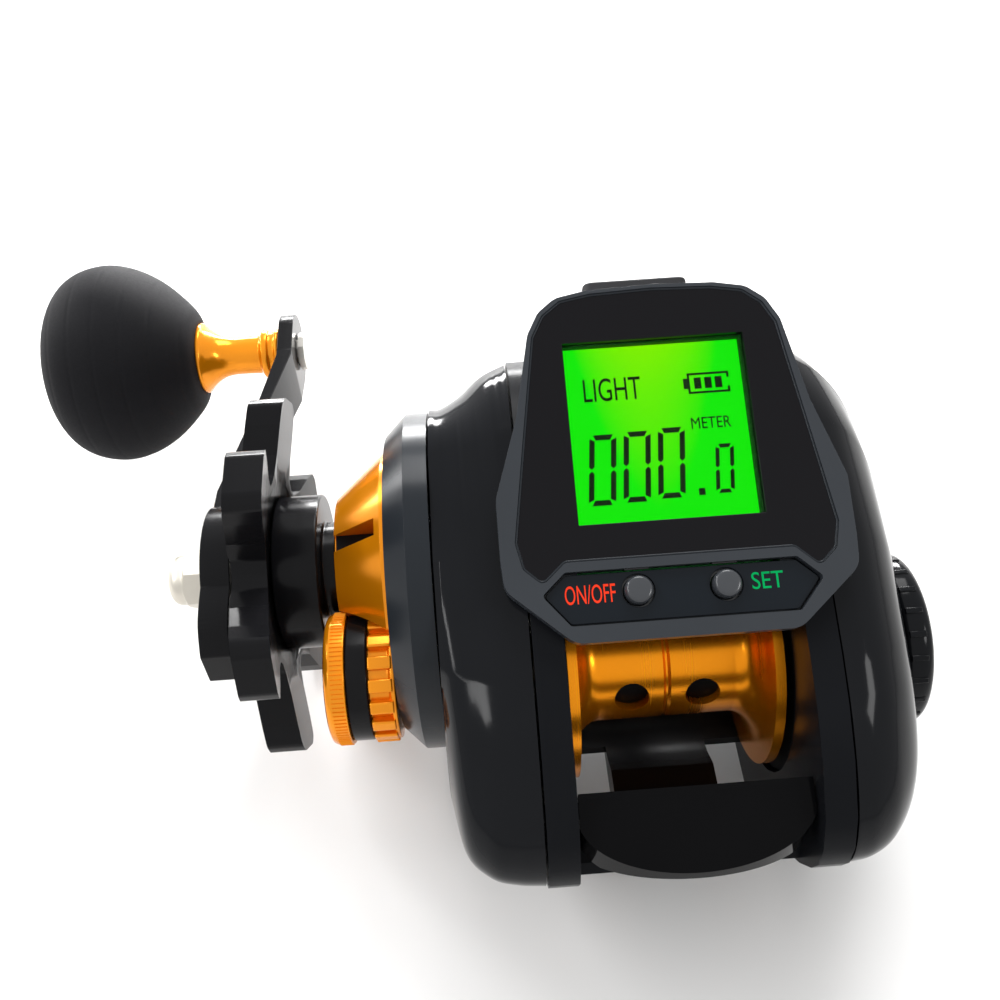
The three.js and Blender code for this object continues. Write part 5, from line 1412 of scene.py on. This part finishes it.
class REEL_OT_cast_control(Operator):
    """Builds the cast control knob: toothed ring, black body and knurled cap"""

    bl_idname = "reel.cast_control"
    bl_label = "Cast control"

    def execute(self, context):
        axis = middle("tension_cap")
        end, start = span("tension_ring")
        depth = TENSION_TOOTH
        ring = turned("tension_ring_core", [
            (KNOB_BOSS + GAP, start), (TENSION_RADIUS - depth * 0.35, start),
            (TENSION_RADIUS - depth * 0.35, start - 0.6), (TENSION_RADIUS - depth, start - 0.9),
            (TENSION_RADIUS - depth, end), (KNOB_BOSS + GAP, end),
        ], axis)
        dress(soften(ring, 0.15), "tension_knob", "orange", "orange_alloy", "tension_ring")
        wide = 2 * math.pi * TENSION_RADIUS / TENSION_TEETH * TENSION_TOOTH_SHARE
        length = start - end
        tooth = slab("tooth", rounded([
            (-depth * 1.4, -wide * 0.9), (-GAP, -wide), (-GAP, wide), (-depth * 1.4, wide * 0.9),
        ], 0.35), 0.35, length - 0.1)
        soften(tooth, 0.18)
        teeth = ring_of(
            "tension_teeth", tooth, TENSION_TEETH, TENSION_RADIUS + GAP, (start, *axis), "orange",
        )
        dress(teeth, "tension_knob", "orange", "orange_alloy")
        end, start = span("tension_body")
        body = turned("tension_barrel", [
            (0, start), (TENSION_BODY, start), (TENSION_BODY, end), (0, end),
        ], axis)
        bore = bar("boss_bore", KNOB_BOSS + GAP, start + OVER, end + 1.6, axis)
        soften(cut(body, bore), size("edge"))
        dress(body, "tension_knob", "alloy", "black_alloy", "tension_body")
        end, start = span("tension_cap")
        cap = turned("tension_lid", [
            (0, start), (TENSION_RADIUS, start),
            *through([
                (TENSION_RADIUS, end + 0.9), (TENSION_RADIUS - 0.3, end + 0.3),
                (TENSION_RADIUS - 1.0, end),
            ], 8),
            (TENSION_RADIUS * 0.6, end), (TENSION_RADIUS * 0.55, end + 0.25), (0, end + 0.25),
        ], axis)
        dress(soften(cap, 0.12), "tension_knob", "orange", "orange_alloy", "tension_cap")
        rib = size("rib")
        ridge = [(-GAP, -rib / 2), (KNURL_HEIGHT, 0), (-GAP, rib / 2)]
        knurl = slab("knurl", ridge, 0.2, start - end - 1.1)
        ribs = ring_of(
            "tension_knurls", knurl, TENSION_KNURLS, TENSION_RADIUS, (start, *axis), "orange",
        )
        dress(ribs, "tension_knob", "orange", "orange_alloy")
        return {"FINISHED"}


class REEL_OT_star_drag(Operator):
    """Builds the star drag and the collar behind it"""

    bl_idname = "reel.star_drag"
    bl_label = "Star drag"

    def execute(self, context):
        start = span("drag_collar")[0]
        end = start - STAR_THICKNESS
        centre = middle("drag_collar")
        points = []
        for lobe in range(STAR_LOBES):
            for turn, reach in STAR_SHARES:
                angle = (lobe + turn + STAR_TURN) * 2 * math.pi / STAR_LOBES
                points.append((
                    centre[0] + STAR_RADIUS * reach * math.cos(angle),
                    centre[1] + STAR_RADIUS * reach * math.sin(angle),
                ))
        outline = rounded(points, STAR_CORNER, 4)
        star = plate("star_wheel_skin", outline, start, end)
        hub = plate("star_hub", outline, start, end)
        profile = [
            (0, end + STAR_DISH), (COLLAR_RADIUS, end + STAR_DISH),
            (STAR_RADIUS * STAR_DISH_SHARE, end - 1), (0, end - 1),
        ]
        dish = turned("dish", profile, centre)
        root = STAR_RADIUS * STAR_ROOT
        both(hub, bar("hub_reach", root + GAP, end - OVER, start + OVER, centre, SIDES))
        cut(star, bar("root", root, end - OVER, start + OVER, centre, SIDES))
        cut(star, dish)
        flat_corners(star)
        for vertex in star.data.vertices:
            _, y, z = vertex.co / MM
            share = (math.hypot(y - centre[0], z - centre[1]) - root) / (STAR_RADIUS - root)
            vertex.co.x += STAR_LEAN * MM * max(0.0, share)
        bore = bar("bore", SHAFT_RADIUS + GAP, start + OVER, end - OVER, centre)
        cut(hub, turned("hub_dish", profile, centre), bore)
        union(star, hub)
        dress(soften(star, size("soft_edge")), "star_wheel", "alloy", "black_alloy", "star_drag")
        end, start = span("drag_collar")
        shoulder = span("tension_cap")[0] - 0.5
        bore = SHAFT_RADIUS + GAP
        collar = turned("collar_skin", [
            (bore, start), (COLLAR_NECK, start), (COLLAR_NECK, shoulder), (COLLAR_RADIUS, shoulder),
            (COLLAR_RADIUS, end), (bore, end),
        ], centre)
        dress(soften(collar, size("edge")), "star_wheel", "alloy", "black_alloy", "drag_collar")
        return {"FINISHED"}


class REEL_OT_crank(Operator):
    """Builds the crank arm with its hub, and the nut"""

    bl_idname = "reel.crank"
    bl_label = "Crank"

    def execute(self, context):
        outer, hub_end = span("nut_retainer")
        hub_start = hub_end + HUB_THICKNESS
        tip_end = hub_end + ARM_SWEEP
        tip_start = tip_end + ARM_TIP
        reach = ARM_LENGTH + ARM_END
        fall = ARM_LENGTH * ARM_FALL
        bend = (ARM_BEND[0], hub_end + ARM_BEND[1])
        sweep = through([(HUB_RADIUS + 1, hub_end), bend, (fall, tip_end)], 12)
        side = [
            (hub_end, -ARM_TAIL), (hub_end, HUB_RADIUS), *[(x, y) for y, x in sweep],
            (tip_end, reach), (tip_start, reach), (tip_start, fall),
            (hub_start, STAR_RADIUS + 0.5), (hub_start, -ARM_TAIL),
        ]
        arm = slab("crank_arm", side, -ARM_HALF * 2, ARM_HALF * 2)
        lower = [(s * (ARM_TAIL if s < 0 else ARM_LENGTH), -w * ARM_HALF) for s, w in ARM_PLAN]
        lower = through(lower, 40)
        end = []
        for k in range(SMALL_SIDES + 1):
            angle = -math.pi / 2 + math.pi * k / SMALL_SIDES
            end.append((ARM_LENGTH + ARM_END * math.cos(angle), ARM_END * math.sin(angle)))
        plan = rounded([*lower, *end, *[(s, -w) for s, w in reversed(lower)]], ARM_CORNER, 3)
        low, high = outer - OVER, tip_start + OVER
        blank = union(
            plate("arm_plan", plan, low, high),
            bar("hub_plan", HUB_RADIUS, low, high, (0, 0), SIDES),
        )
        both(arm, blank)
        cut(
            arm,
            bar("shaft_hole", SHAFT_RADIUS + GAP, low, high),
            bar("knob_hole", SPINDLE_RADIUS + GAP, low, high, (ARM_LENGTH, 0.0)),
        )
        soften(arm, size("soft_edge"))
        drive = Vector((0, *middle("drag_collar"))) * MM
        move(arm, Matrix.Translation(drive) @ Matrix.Rotation(ARM_TILT, 4, "X"))
        dress(arm, "crank", "alloy", "black_alloy", "handle_arm")

        end, start = span("handle_nut")
        angles = [math.pi * k / 3 + ARM_TILT for k in range(NUT_SIDES)]
        hexagon = [(NUT_HEX * math.cos(angle), NUT_HEX * math.sin(angle)) for angle in angles]
        hex_end = start - NUT_HEX_LENGTH
        nut = plate("nut_skin", hexagon, start, hex_end)
        both(nut, turned("nut_chamfer", [
            (0, start), (NUT_HEX, start), (NUT_HEX, hex_end + 0.5), (NUT_HEX * 0.86, hex_end),
            (0, hex_end),
        ]))
        dome = turned("nut_dome", [
            (0, hex_end + 1), (NUT_HEX * 0.8, hex_end + 1),
            *through([
                (NUT_HEX * 0.8, hex_end), (NUT_HEX * 0.76, end + 1.0),
                (NUT_HEX * 0.55, end + 0.22), (0, end),
            ], 14),
        ])
        union(nut, dome)
        soften(nut, 0.18)
        move(nut, Matrix.Translation(drive))
        dress(nut, "crank", "nut", "steel", "handle_nut")
        refinish("alloy", "nut_retainer")
        refinish("steel", "knob_spindle", "drive_shaft", "drag_washer_steel")
        refinish("brass", "drive_gear")
        refinish("carbon", "drag_washer_carbon")
        refinish("nylon", "level_wind_drive_gear")
        return {"FINISHED"}


class REEL_OT_knob(Operator):
    """Turns the ball knob and its orange neck"""

    bl_idname = "reel.knob"
    bl_label = "Crank knob"

    def execute(self, context):
        end, start = span("handle_knob")
        centre = middle("handle_knob")
        length = start - end
        bore = NECK_SLEEVE + GAP
        sleeve_end, neck_start = span("knob_neck")
        bore_end = sleeve_end - KNOB_BORE_SPARE
        outer = [
            (max(KNOB_RADIUS * across, 0.0), start - length * along)
            for along, across in through(KNOB_PROFILE, KNOB_STEPS)
        ]
        outer[-1] = (0, end)
        knob = turned("ball_knob", [
            (0, bore_end), (bore, bore_end), (bore, start), *outer,
        ], centre)
        dress(soften(knob, size("edge"), 40.0), "knob", "grip", "grip", "handle_knob")
        bore = SPINDLE_RADIUS + GAP
        ring_end = neck_start - NECK_RING_WIDTH
        flare_start = start + NECK_RING_WIDTH
        neck = turned("neck_skin", [
            (bore, neck_start), (NECK_RING - 0.5, neck_start), (NECK_RING, neck_start - 0.5),
            (NECK_RING, neck_start - 1.0), (NECK_RING - 0.35, neck_start - 1.2),
            (NECK_RING - 0.35, ring_end + 1.2), (NECK_RING, ring_end + 1.0), (NECK_RING, ring_end),
            (NECK_WAIST, ring_end - 0.5),
            *through([
                (NECK_WAIST, ring_end - 1.0), (NECK_WAIST, flare_start + 2.0),
                (NECK_WAIST * 1.15, flare_start), (NECK_FLARE * 0.83, start + 1.6),
                (NECK_FLARE, start + 0.6),
            ], 24),
            (NECK_FLARE, start), (NECK_SLEEVE, start), (NECK_SLEEVE, sleeve_end),
            (bore, sleeve_end),
        ], centre, SIDES)
        dress(soften(neck, 0.15), "knob", "orange", "orange_alloy", "knob_neck")
        return {"FINISHED"}


class REEL_OT_brake_dial(Operator):
    """Builds the brake dial on the palm side"""

    bl_idname = "reel.brake_dial"
    bl_label = "Brake dial"

    def execute(self, context):
        low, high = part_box("brake_dial")
        radius = (high.z - low.z) / 2 / MM
        inner, outer = span("palm_side_cover")[1] + GAP, high.x / MM
        axis = middle("brake_plate")
        dial = turned("dial_disc", [
            (0, low.x / MM), (DIAL_STEM, low.x / MM), (DIAL_STEM, inner), (radius - 0.5, inner),
            *through([
                (radius - 0.2, inner + 0.4), (radius - 0.25, outer - 1.2),
                (radius - 0.9, outer - 0.3), (radius - 2.2, outer),
            ], 14),
            (radius * 0.62, outer), (radius * 0.6, outer - 0.35), (0, outer - 0.2),
        ], axis)
        dress(soften(dial, 0.15), "dial", "shell", "gloss_shell", "brake_dial")
        grip = slab("grip", rounded([
            (-0.5, -0.5), (0.2, -0.4), (0.2, 0.4), (-0.5, 0.5),
        ], 0.2), -outer + 1.3, -inner - 0.3)
        soften(grip, 0.1)
        count = bpy.context.scene.reel_sizes.dial_grips
        grips = ring_of("dial_grips", grip, count, radius - 0.2, (0, *axis), "shell")
        dress(grips, "dial", "shell", "gloss_shell")
        refinish("steel", "magnet_carrier")
        return {"FINISHED"}


class REEL_OT_display_housing(Operator):
    """Builds the tilted display housing on its saddle"""

    bl_idname = "reel.display_housing"
    bl_label = "Display housing"

    def execute(self, context):
        outline = rounded(mirrored(HOUSING_OUTLINE), HOUSING_CORNER)
        housing = slab("housing_shell", outline, -HOUSING_DEPTH, 0)
        saddle = [(y, z + GAP) for y, z in map(side_point, SADDLE)]
        (y0, z0), (y1, z1) = saddle[:2]
        slope = (z1 - z0) / (y1 - y0)
        lead = (y0 - 3 * OVER, z0 - slope * 3 * OVER)
        front = [side_point(share) for share in HOUSING_FRONT]
        roof = DISPLAY_CENTRE[2] + HOUSING_DEPTH
        reach = FACE_HALF + 2 * OVER
        wide = [lead, *saddle, *front, (BODY_LENGTH, roof), (lead[0], roof)]
        belly = [*map(side_point, BELLY), front[1], (BODY_LENGTH, roof), (lead[0] + OVER, roof)]
        wide, belly = ([to_display(point) for point in outline] for outline in (wide, belly))
        region = plate("housing_region", wide, -reach, reach)
        union(region, plate("belly_region", belly, -BELLY_HALF, BELLY_HALF))
        both(housing, region)
        glass = rounded(inset(mirrored(GLASS_OUTLINE), -GAP), GLASS_CORNER)
        panel = rounded(inset(mirrored(PANEL_OUTLINE), -GAP), PANEL_CORNER)
        port = PORT_WIDTH / 2 + GAP
        cut(
            housing,
            slab("glass_pocket", glass, -GLASS_SINK - GLASS_THICKNESS - GAP, OVER),
            slab("panel_pocket", panel, -PANEL_SINK - PANEL_THICKNESS - GAP, OVER),
            block("hollow", *CAVITY),
            block("ledge", CAVITY[0], (LEDGE_START, 0),
                  (LEDGE_BOTTOM, -PANEL_SINK - PANEL_THICKNESS)),
            block(
                "port_pocket", (PORT_CENTRE - port, PORT_CENTRE + port),
                (PORT_BACK - GAP, PORT_BACK + 2 * OVER),
                (-PORT_TOP - PORT_HEIGHT - GAP, -PORT_TOP + GAP),
            ),
            block("jack_pocket", (PORT_CENTRE - JACK_HALF, PORT_CENTRE + JACK_HALF),
                  (0, JACK_END), JACK_DEPTHS),
        )
        soften(housing, size("soft_edge"), 24.0)
        dress(in_display(housing), "reel_body", "bezel", "bezel", "display_housing")
        return {"FINISHED"}


def words(name, text, left, base, height, width, level):
    """Flat letters in the display's frame, fitted to a width and a height."""
    data = bpy.data.curves.new(name, "FONT")
    data.body = text
    data.extrude = 0.5
    data.resolution_u = 6
    holder = new_object(name, data)
    graph = bpy.context.evaluated_depsgraph_get()
    mesh = bpy.data.meshes.new_from_object(holder.evaluated_get(graph))
    bpy.data.objects.remove(holder)
    low = Vector(map(min, *[vertex.co for vertex in mesh.vertices]))
    high = Vector(map(max, *[vertex.co for vertex in mesh.vertices]))
    now = high - low
    fit = Matrix.Diagonal((
        width / now.x * MM, height / now.y * MM, MARK_THICKNESS / now.z * MM, 1.0,
    ))
    mesh.transform(Matrix.Translation(-low))
    mesh.transform(fit)
    mesh.transform(Matrix.Translation(Vector((left, base, level)) * MM))
    clean(mesh)
    return in_display(new_object(name, mesh))


def digit_bars(width, height, bar_width, gap):
    """The six lit bars of a nought, as outlines about its lower left corner."""
    half = bar_width / 2
    middle_y = height / 2
    across = [(half + gap, 0), (width - half - gap, 0), (width - bar_width - gap, bar_width),
              (bar_width + gap, bar_width)]
    upright = [(0, half + gap), (bar_width, bar_width + gap), (bar_width, middle_y - half - gap),
               (half, middle_y - gap), (0, middle_y - half - gap)]
    bars = [across, [(x, height - y) for x, y in across]]
    for points in (upright, [(x, height - y) for x, y in upright]):
        bars += [points, [(width - x, y) for x, y in points]]
    return bars


class REEL_OT_screen(Operator):
    """Builds the glass with its window, the lit screen and its signs"""

    bl_idname = "reel.screen"
    bl_label = "Screen"

    def execute(self, context):
        top, bottom = -GLASS_SINK, -GLASS_SINK - GLASS_THICKNESS
        half_y = LCD_SIZE[1] / 2
        left, right = (LCD_CENTRE + side * LCD_SIZE[0] / 2 for side in (-1, 1))
        hole = block("hole", (left, right), (-half_y, half_y + 0.9), (bottom - OVER, OVER))
        outline = rounded(mirrored(GLASS_OUTLINE), GLASS_CORNER)
        border = slab("screen_border", outline, bottom, top)
        soften(cut(border, hole), 0.22)
        dress(in_display(border), "reel_body", "glass", "screen_glass", "display_glass")
        window = block("screen_window", (left - 0.2, right + 0.2), (-half_y - 0.2, half_y + 1.1),
                       (bottom - 0.05, bottom + 0.35))
        dress(in_display(window), "reel_body", "window", "screen_glass")
        level = -LCD_DEPTH
        panel = block("screen_panel", (left - 0.8, right + 0.8), (-half_y - 0.8, half_y + 0.8),
                      (level - LCD_THICKNESS, level))
        soften(panel, 0.05)
        dress(in_display(panel), "reel_body", "screen", "lcd", "lcd_panel")
        # The wall round the screen takes the green-tinted finish, a painted glow of the screen's
        # light
        bezel = cut(
            block("screen_wall", (left - 0.9, right + 0.9), (-half_y - 0.9, half_y + 1.6),
                  (level + 0.02, bottom - 0.08)),
            block("wall_hole", (left - 0.1, right - 0.3), (-half_y - 0.1, half_y + 0.7),
                  (level - OVER, OVER)),
        )
        dress(in_display(bezel), "reel_body", "wall", "screen_glass")
        self.signs(level)
        return {"FINISHED"}

    def signs(self, level):
        """The words, the digits and the battery sign on the screen, as one piece."""
        marks = [
            words("word_light", "LIGHT", -9.6, 4.9, 3.1, 7.4, level),
            words("word_meter", "METER", 3.75, 0.4, 1.5, 5.1, level),
        ]
        lean = Matrix.Identity(4)
        lean[0][1] = DIGIT_LEAN
        for number, (left, base, width, height, thick) in enumerate(DIGITS):
            for k, outline in enumerate(digit_bars(width, height, thick, DIGIT_GAP)):
                mark = slab(f"digit_{number}_bar_{k}", outline, 0.0, MARK_THICKNESS)
                move(mark, Matrix.Translation(Vector((left, base, level)) * MM) @ lean)
                marks.append(in_display(mark))
        depth = (level, level + MARK_THICKNESS)
        marks.append(in_display(block("decimal_point", (3.7, 4.5), (-8.3, -7.4), depth)))
        marks += self.battery_sign(depth)
        dress(join("screen_signs", marks), "reel_body", "segment", "lcd")

    def battery_sign(self, depth):
        left, right, low, high, line = 3.9, 9.3, 5.1, 7.9, 0.28
        middle_y = (low + high) / 2
        boxes = [
            (left, right, high - line, high), (left, right, low, low + line),
            (left, left + line, low, high), (right - line, right, low, low + 0.8),
            (right - line, right, high - 0.8, high),
            (left - 0.55, left, middle_y - 0.7, middle_y + 0.7),
        ]
        for k in range(3):
            step = k * 1.35
            boxes.append((left + 0.85 + step, left + 1.75 + step, low + 0.65, high - 0.65))
        return [
            in_display(block(f"cell_{k}", (x0, x1), (y0, y1), depth))
            for k, (x0, x1, y0, y1) in enumerate(boxes)
        ]


def join(name, pieces):
    """One object out of several."""
    work = bmesh.new()
    for piece in pieces:
        work.from_mesh(piece.data)
        bpy.data.objects.remove(piece)
    mesh = bpy.data.meshes.new(name)
    work.to_mesh(mesh)
    work.free()
    return new_object(name, mesh)


class REEL_OT_button_panel(Operator):
    """Builds the panel with its two push buttons and their words"""

    bl_idname = "reel.button_panel"
    bl_label = "Button panel"

    def execute(self, context):
        top, bottom = -PANEL_SINK, -PANEL_SINK - PANEL_THICKNESS
        outline = rounded(mirrored(PANEL_OUTLINE), PANEL_CORNER)
        sheet = slab("panel_sheet", outline, bottom, top)
        for x, y in BUTTON_PLACES:
            round_hole = [(x + dx, y + dy) for dx, dy in circle(BUTTON_RADIUS + GAP, SMALL_SIDES)]
            cut(sheet, slab("button_hole", round_hole, bottom - OVER, OVER))
        soften(sheet, 0.14)
        dress(in_display(sheet), "reel_body", "panel", "gloss_shell", "button_panel")
        flange_top = bottom - BUTTON_FLANGE_SINK
        flange_low = flange_top - BUTTON_FLANGE_THICKNESS
        pieces = (("on_off_button", "power_button"), ("set_button", "set_key"))
        for (x, y), (name, body) in zip(BUTTON_PLACES, pieces):
            profile = [
                (0, flange_low), (BUTTON_FLANGE, flange_low),
                (BUTTON_FLANGE, flange_top), (BUTTON_RADIUS, flange_top),
                *through([
                    (BUTTON_RADIUS, BUTTON_RISE - 0.55), (BUTTON_RADIUS * 0.86, BUTTON_RISE - 0.12),
                    (BUTTON_RADIUS * 0.5, BUTTON_RISE), (0, BUTTON_RISE),
                ], 12),
            ]
            button = turned(name + "_skin", profile, (0, 0), SMALL_SIDES)
            stand = Matrix.Rotation(-math.pi / 2, 4, "Y")
            move(button, Matrix.Translation(Vector((x, y, 0)) * MM) @ stand)
            soften(button, 0.08)
            dress(in_display(button), body, "button", "button", name)
        # Two small dark blocks over the notch recesses above the buttons are painted shade of the
        # recesses
        depth = (top - 0.02, top + 0.3)
        notch_shades = [
            in_display(block(f"notch_{k}", (x - 1.5, x + 1.5), (-17.35, -16.6), depth))
            for k, (x, _) in enumerate(BUTTON_PLACES)
        ]
        dress(join("panel_notches", notch_shades), "reel_body", "nylon", "gloss_shell")
        word = words("word_on_off", "ON/OFF", -14.4, -21.1, 2.3, 6.2, top)
        dress(word, "reel_body", "on_off", "button")
        word = words("word_set", "SET", 8.5, -20.8, 2.1, 3.9, top)
        dress(word, "reel_body", "set_word", "button")
        refinish("board", "circuit_board")
        refinish("cell", "battery")
        refinish("nylon", "charge_jack")
        return {"FINISHED"}


class REEL_OT_port_cover(Operator):
    """Builds the ribbed cover of the charging inlet"""

    bl_idname = "reel.port_cover"
    bl_label = "Inlet cover"

    def execute(self, context):
        half = PORT_WIDTH / 2
        low, high = -PORT_TOP - PORT_HEIGHT, -PORT_TOP
        lid_plan = rounded([
            (PORT_CENTRE - half, low), (PORT_CENTRE + half, low), (PORT_CENTRE + half, high),
            (PORT_CENTRE - half, high),
        ], PORT_CORNER)
        lid = skin("inlet_lid", [
            [(x, y, z) for x, z in lid_plan] for y in (PORT_BACK, PORT_BACK + PORT_THICKNESS)
        ])
        soften(lid, size("edge"))
        dress(in_display(lid), "inlet_cover", "rubber", "grip", "charge_port_cover")
        rib = block("rib", (-3.6, 3.6), (-0.25, 0.12), (-0.22, 0.22))
        soften(rib, 0.1)
        outer = PORT_BACK + PORT_THICKNESS - 0.02
        values = {
            "Shape": rib, "Count": PORT_RIBS,
            "Start": Vector((PORT_CENTRE, outer, low + 2.2)) * MM,
            "Step": Vector((0.0, 0.0, PORT_RIB_STEP)) * MM,
        }
        ribs = run_tree("inlet_ribs", TREES["row"], values, "rubber")
        bpy.data.objects.remove(rib)
        dress(in_display(ribs), "inlet_cover", "rubber", "grip")
        return {"FINISHED"}


class REEL_OT_level_wind(Operator):
    """Finishes the level wind: worm with crossing thread, line guide and its eye"""

    bl_idname = "reel.level_wind"
    bl_label = "Level wind"

    def execute(self, context):
        for node, name, body, finish, slot in (
            ("line_guide", "line_guide_skin", "guide", "matte", "gloss_shell"),
            ("line_guide_insert", "eye_skin", "guide", "ring", "hard_ring"),
        ):
            dress(copy_of(node, name, 0.3), body, finish, slot, node)
        place = Vector((0, *middle("worm_gear"))) * MM
        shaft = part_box("brake_plate")[0].x - 0.6 * MM
        values = {
            "Radius": THREAD_RADIUS, "Length": 2 * shaft, "Turns": THREAD_TURNS,
            "Thickness": bpy.context.scene.reel_sizes.thread,
            "Centre": place - Vector((shaft, 0, 0)),
        }
        thread = run_tree("worm_thread", TREES["thread"], values, "steel")
        dress(thread, "worm", "steel", "steel")
        refinish("steel", "worm_shaft")
        refinish("nylon", "worm_gear")
        refinish("brass", "guide_pawl")
        return {"FINISHED"}


class REEL_OT_inner_parts(Operator):
    """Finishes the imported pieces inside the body"""

    bl_idname = "reel.inner_parts"
    bl_label = "Inner parts"

    def execute(self, context):
        refinish(
            "steel", "spool_bearing_left", "spool_bearing_right", "pinion_bearing", "clutch_cam",
            "anti_reverse_bearing", "drive_shaft_bearing",
        )
        refinish("brass", "pinion_gear")
        refinish("nylon", "clutch_yoke", "counter_sensor")
        return {"FINISHED"}


class REEL_OT_face_bead(Operator):
    """Lays a thin bead round the glass, in the housing's rim"""

    bl_idname = "reel.face_bead"
    bl_label = "Face bead"

    def execute(self, context):
        outline = rounded(inset(mirrored(GLASS_OUTLINE), -GAP / 2), GLASS_CORNER)
        path = closed_path("bead_path", [(x, y, -BEAD_SINK) for x, y in outline])
        values = {"Path": path, "Radius": BEAD_RADIUS * MM}
        bead = run_tree("face_bead", TREES["bead"], values, "cap")
        bpy.data.objects.remove(path)
        dress(in_display(bead), "reel_body", "cap", "bezel")
        return {"FINISHED"}


def look_at(place, target):
    """The turn of a lamp that points at a target."""
    return (Vector(target) - Vector(place)).to_track_quat("-Z", "Y")


class REEL_OT_stage(Operator):
    """Builds the floor, the lamps, the sky and the camera"""

    bl_idname = "reel.stage"
    bl_label = "Stage"

    def execute(self, context):
        scene = context.scene
        settings = scene.reel_stage
        scene.view_settings.view_transform = "Standard"
        self.floor(settings)
        self.sky(scene, settings)
        self.lamps(settings)
        self.camera(scene)
        return {"FINISHED"}

    def floor(self, settings):
        half = settings.floor_size / 2 / MM
        level = CAD_BOUNDS[0].z / MM
        depth = (level - FLOOR_THICKNESS, level - FLOOR_GAP)
        floor = block("floor", (-half, half), (-half, half), depth)
        finish = Finish("floor_paper")
        cloud = finish.noise(1.5, 2.0)
        colour = tuple(settings.floor_colour)
        shade = tuple(channel * 0.985 for channel in colour)
        floor.data.materials.append(finish.surface(
            Base_Color=finish.mix(cloud, solid_colour(colour), solid_colour(shade)), Roughness=0.6,
        ))

    def sky(self, scene, settings):
        scene.world = bpy.data.worlds.new("sky")
        scene.world.use_nodes = True
        scene.world.node_tree.nodes.clear()
        graph = Graph(scene.world.node_tree)
        path = graph.tree.nodes.new("ShaderNodeLightPath")
        seen = [Wire(graph, path.outputs[name]) for name in (
            "Is Camera Ray", "Is Glossy Ray", "Is Transmission Ray",
        )]
        factor = seen[0] + seen[1] + seen[2]
        white = graph.node("ShaderNodeBackground", {}, {
            "Color": (1.0, 1.0, 1.0, 1.0), "Strength": 1.0,
        })
        even = graph.node("ShaderNodeBackground", {}, {
            "Color": (1.0, 0.995, 0.985, 1.0), "Strength": settings.sky,
        })
        mixed = graph.node("ShaderNodeMixShader", {}, {0: factor, 1: even, 2: white})
        graph.node("ShaderNodeOutputWorld", {}, {"Surface": mixed})

    def lamps(self, settings):
        for name, place, wide, tall, share in LAMPS:
            lamp = bpy.data.lights.new(name, "AREA")
            lamp.shape = "RECTANGLE"
            lamp.size, lamp.size_y = wide, tall
            lamp.energy = settings.key * share
            holder = new_object(name, lamp)
            holder.location = place
            holder.rotation_mode = "QUATERNION"
            holder.rotation_quaternion = look_at(place, LAMP_TARGET)

    def camera(self, scene):
        a, e, r = CAMERA_AZIMUTH, CAMERA_ELEVATION, CAMERA_ROLL
        ahead = Vector((-math.sin(a) * math.cos(e), math.cos(a) * math.cos(e), -math.sin(e)))
        level = Vector((math.cos(a), math.sin(a), 0.0))
        above = level.cross(ahead)
        right = level * math.cos(r) - above * math.sin(r)
        up = level * math.sin(r) + above * math.cos(r)
        data = bpy.data.cameras.new("camera")
        data.sensor_width = CAMERA_SENSOR
        data.lens = CAMERA_LENS
        data.clip_start = CAMERA_NEAR
        data.clip_end = CAMERA_FAR
        holder = new_object("camera", data)
        turn = Matrix((right, up, -ahead)).transposed().to_4x4()
        holder.matrix_world = Matrix.Translation(Vector(CAMERA_PLACE) * MM) @ turn
        scene.camera = holder


OPERATORS = (
    REEL_OT_side_covers, REEL_OT_gearbox_cap, REEL_OT_frame, REEL_OT_cover_screws,
    REEL_OT_thumb_bar, REEL_OT_spool, REEL_OT_drive_cone, REEL_OT_cast_control,
    REEL_OT_star_drag, REEL_OT_crank, REEL_OT_knob, REEL_OT_brake_dial,
    REEL_OT_display_housing, REEL_OT_screen, REEL_OT_button_panel, REEL_OT_port_cover,
    REEL_OT_face_bead, REEL_OT_level_wind, REEL_OT_inner_parts, REEL_OT_stage,
)


class REEL_PT_panel(Panel):
    """Lists the reel's pieces in the sidebar"""

    bl_label = "Line counter reel"
    bl_idname = "REEL_PT_panel"
    bl_space_type = "VIEW_3D"
    bl_region_type = "UI"
    bl_category = "Reel"

    def draw(self, context):
        for operator in OPERATORS:
            self.layout.operator(operator.bl_idname)
        scene = context.scene
        for group in (scene.reel_sizes, scene.reel_colours, scene.reel_stage):
            for name in group.__annotations__:
                self.layout.prop(group, name)


CLASSES = (ReelSizes, ReelColours, StageSettings, *OPERATORS, REEL_PT_panel)


def register():
    for kind in CLASSES:
        bpy.utils.register_class(kind)
    bpy.types.Scene.reel_sizes = PointerProperty(type=ReelSizes)
    bpy.types.Scene.reel_colours = PointerProperty(type=ReelColours)
    bpy.types.Scene.reel_stage = PointerProperty(type=StageSettings)


def unregister():
    del bpy.types.Scene.reel_stage
    del bpy.types.Scene.reel_colours
    del bpy.types.Scene.reel_sizes
    for kind in reversed(CLASSES):
        bpy.utils.unregister_class(kind)


def main():
    register()
    FINISHES.update(make_finishes())
    TREES.update(ring=ring_tree(), row=row_tree(), thread=thread_tree(), bead=bead_tree())
    for operator in OPERATORS:
        group, name = operator.bl_idname.split(".")
        getattr(getattr(bpy.ops, group), name)()


if __name__ == "__main__":
    main()
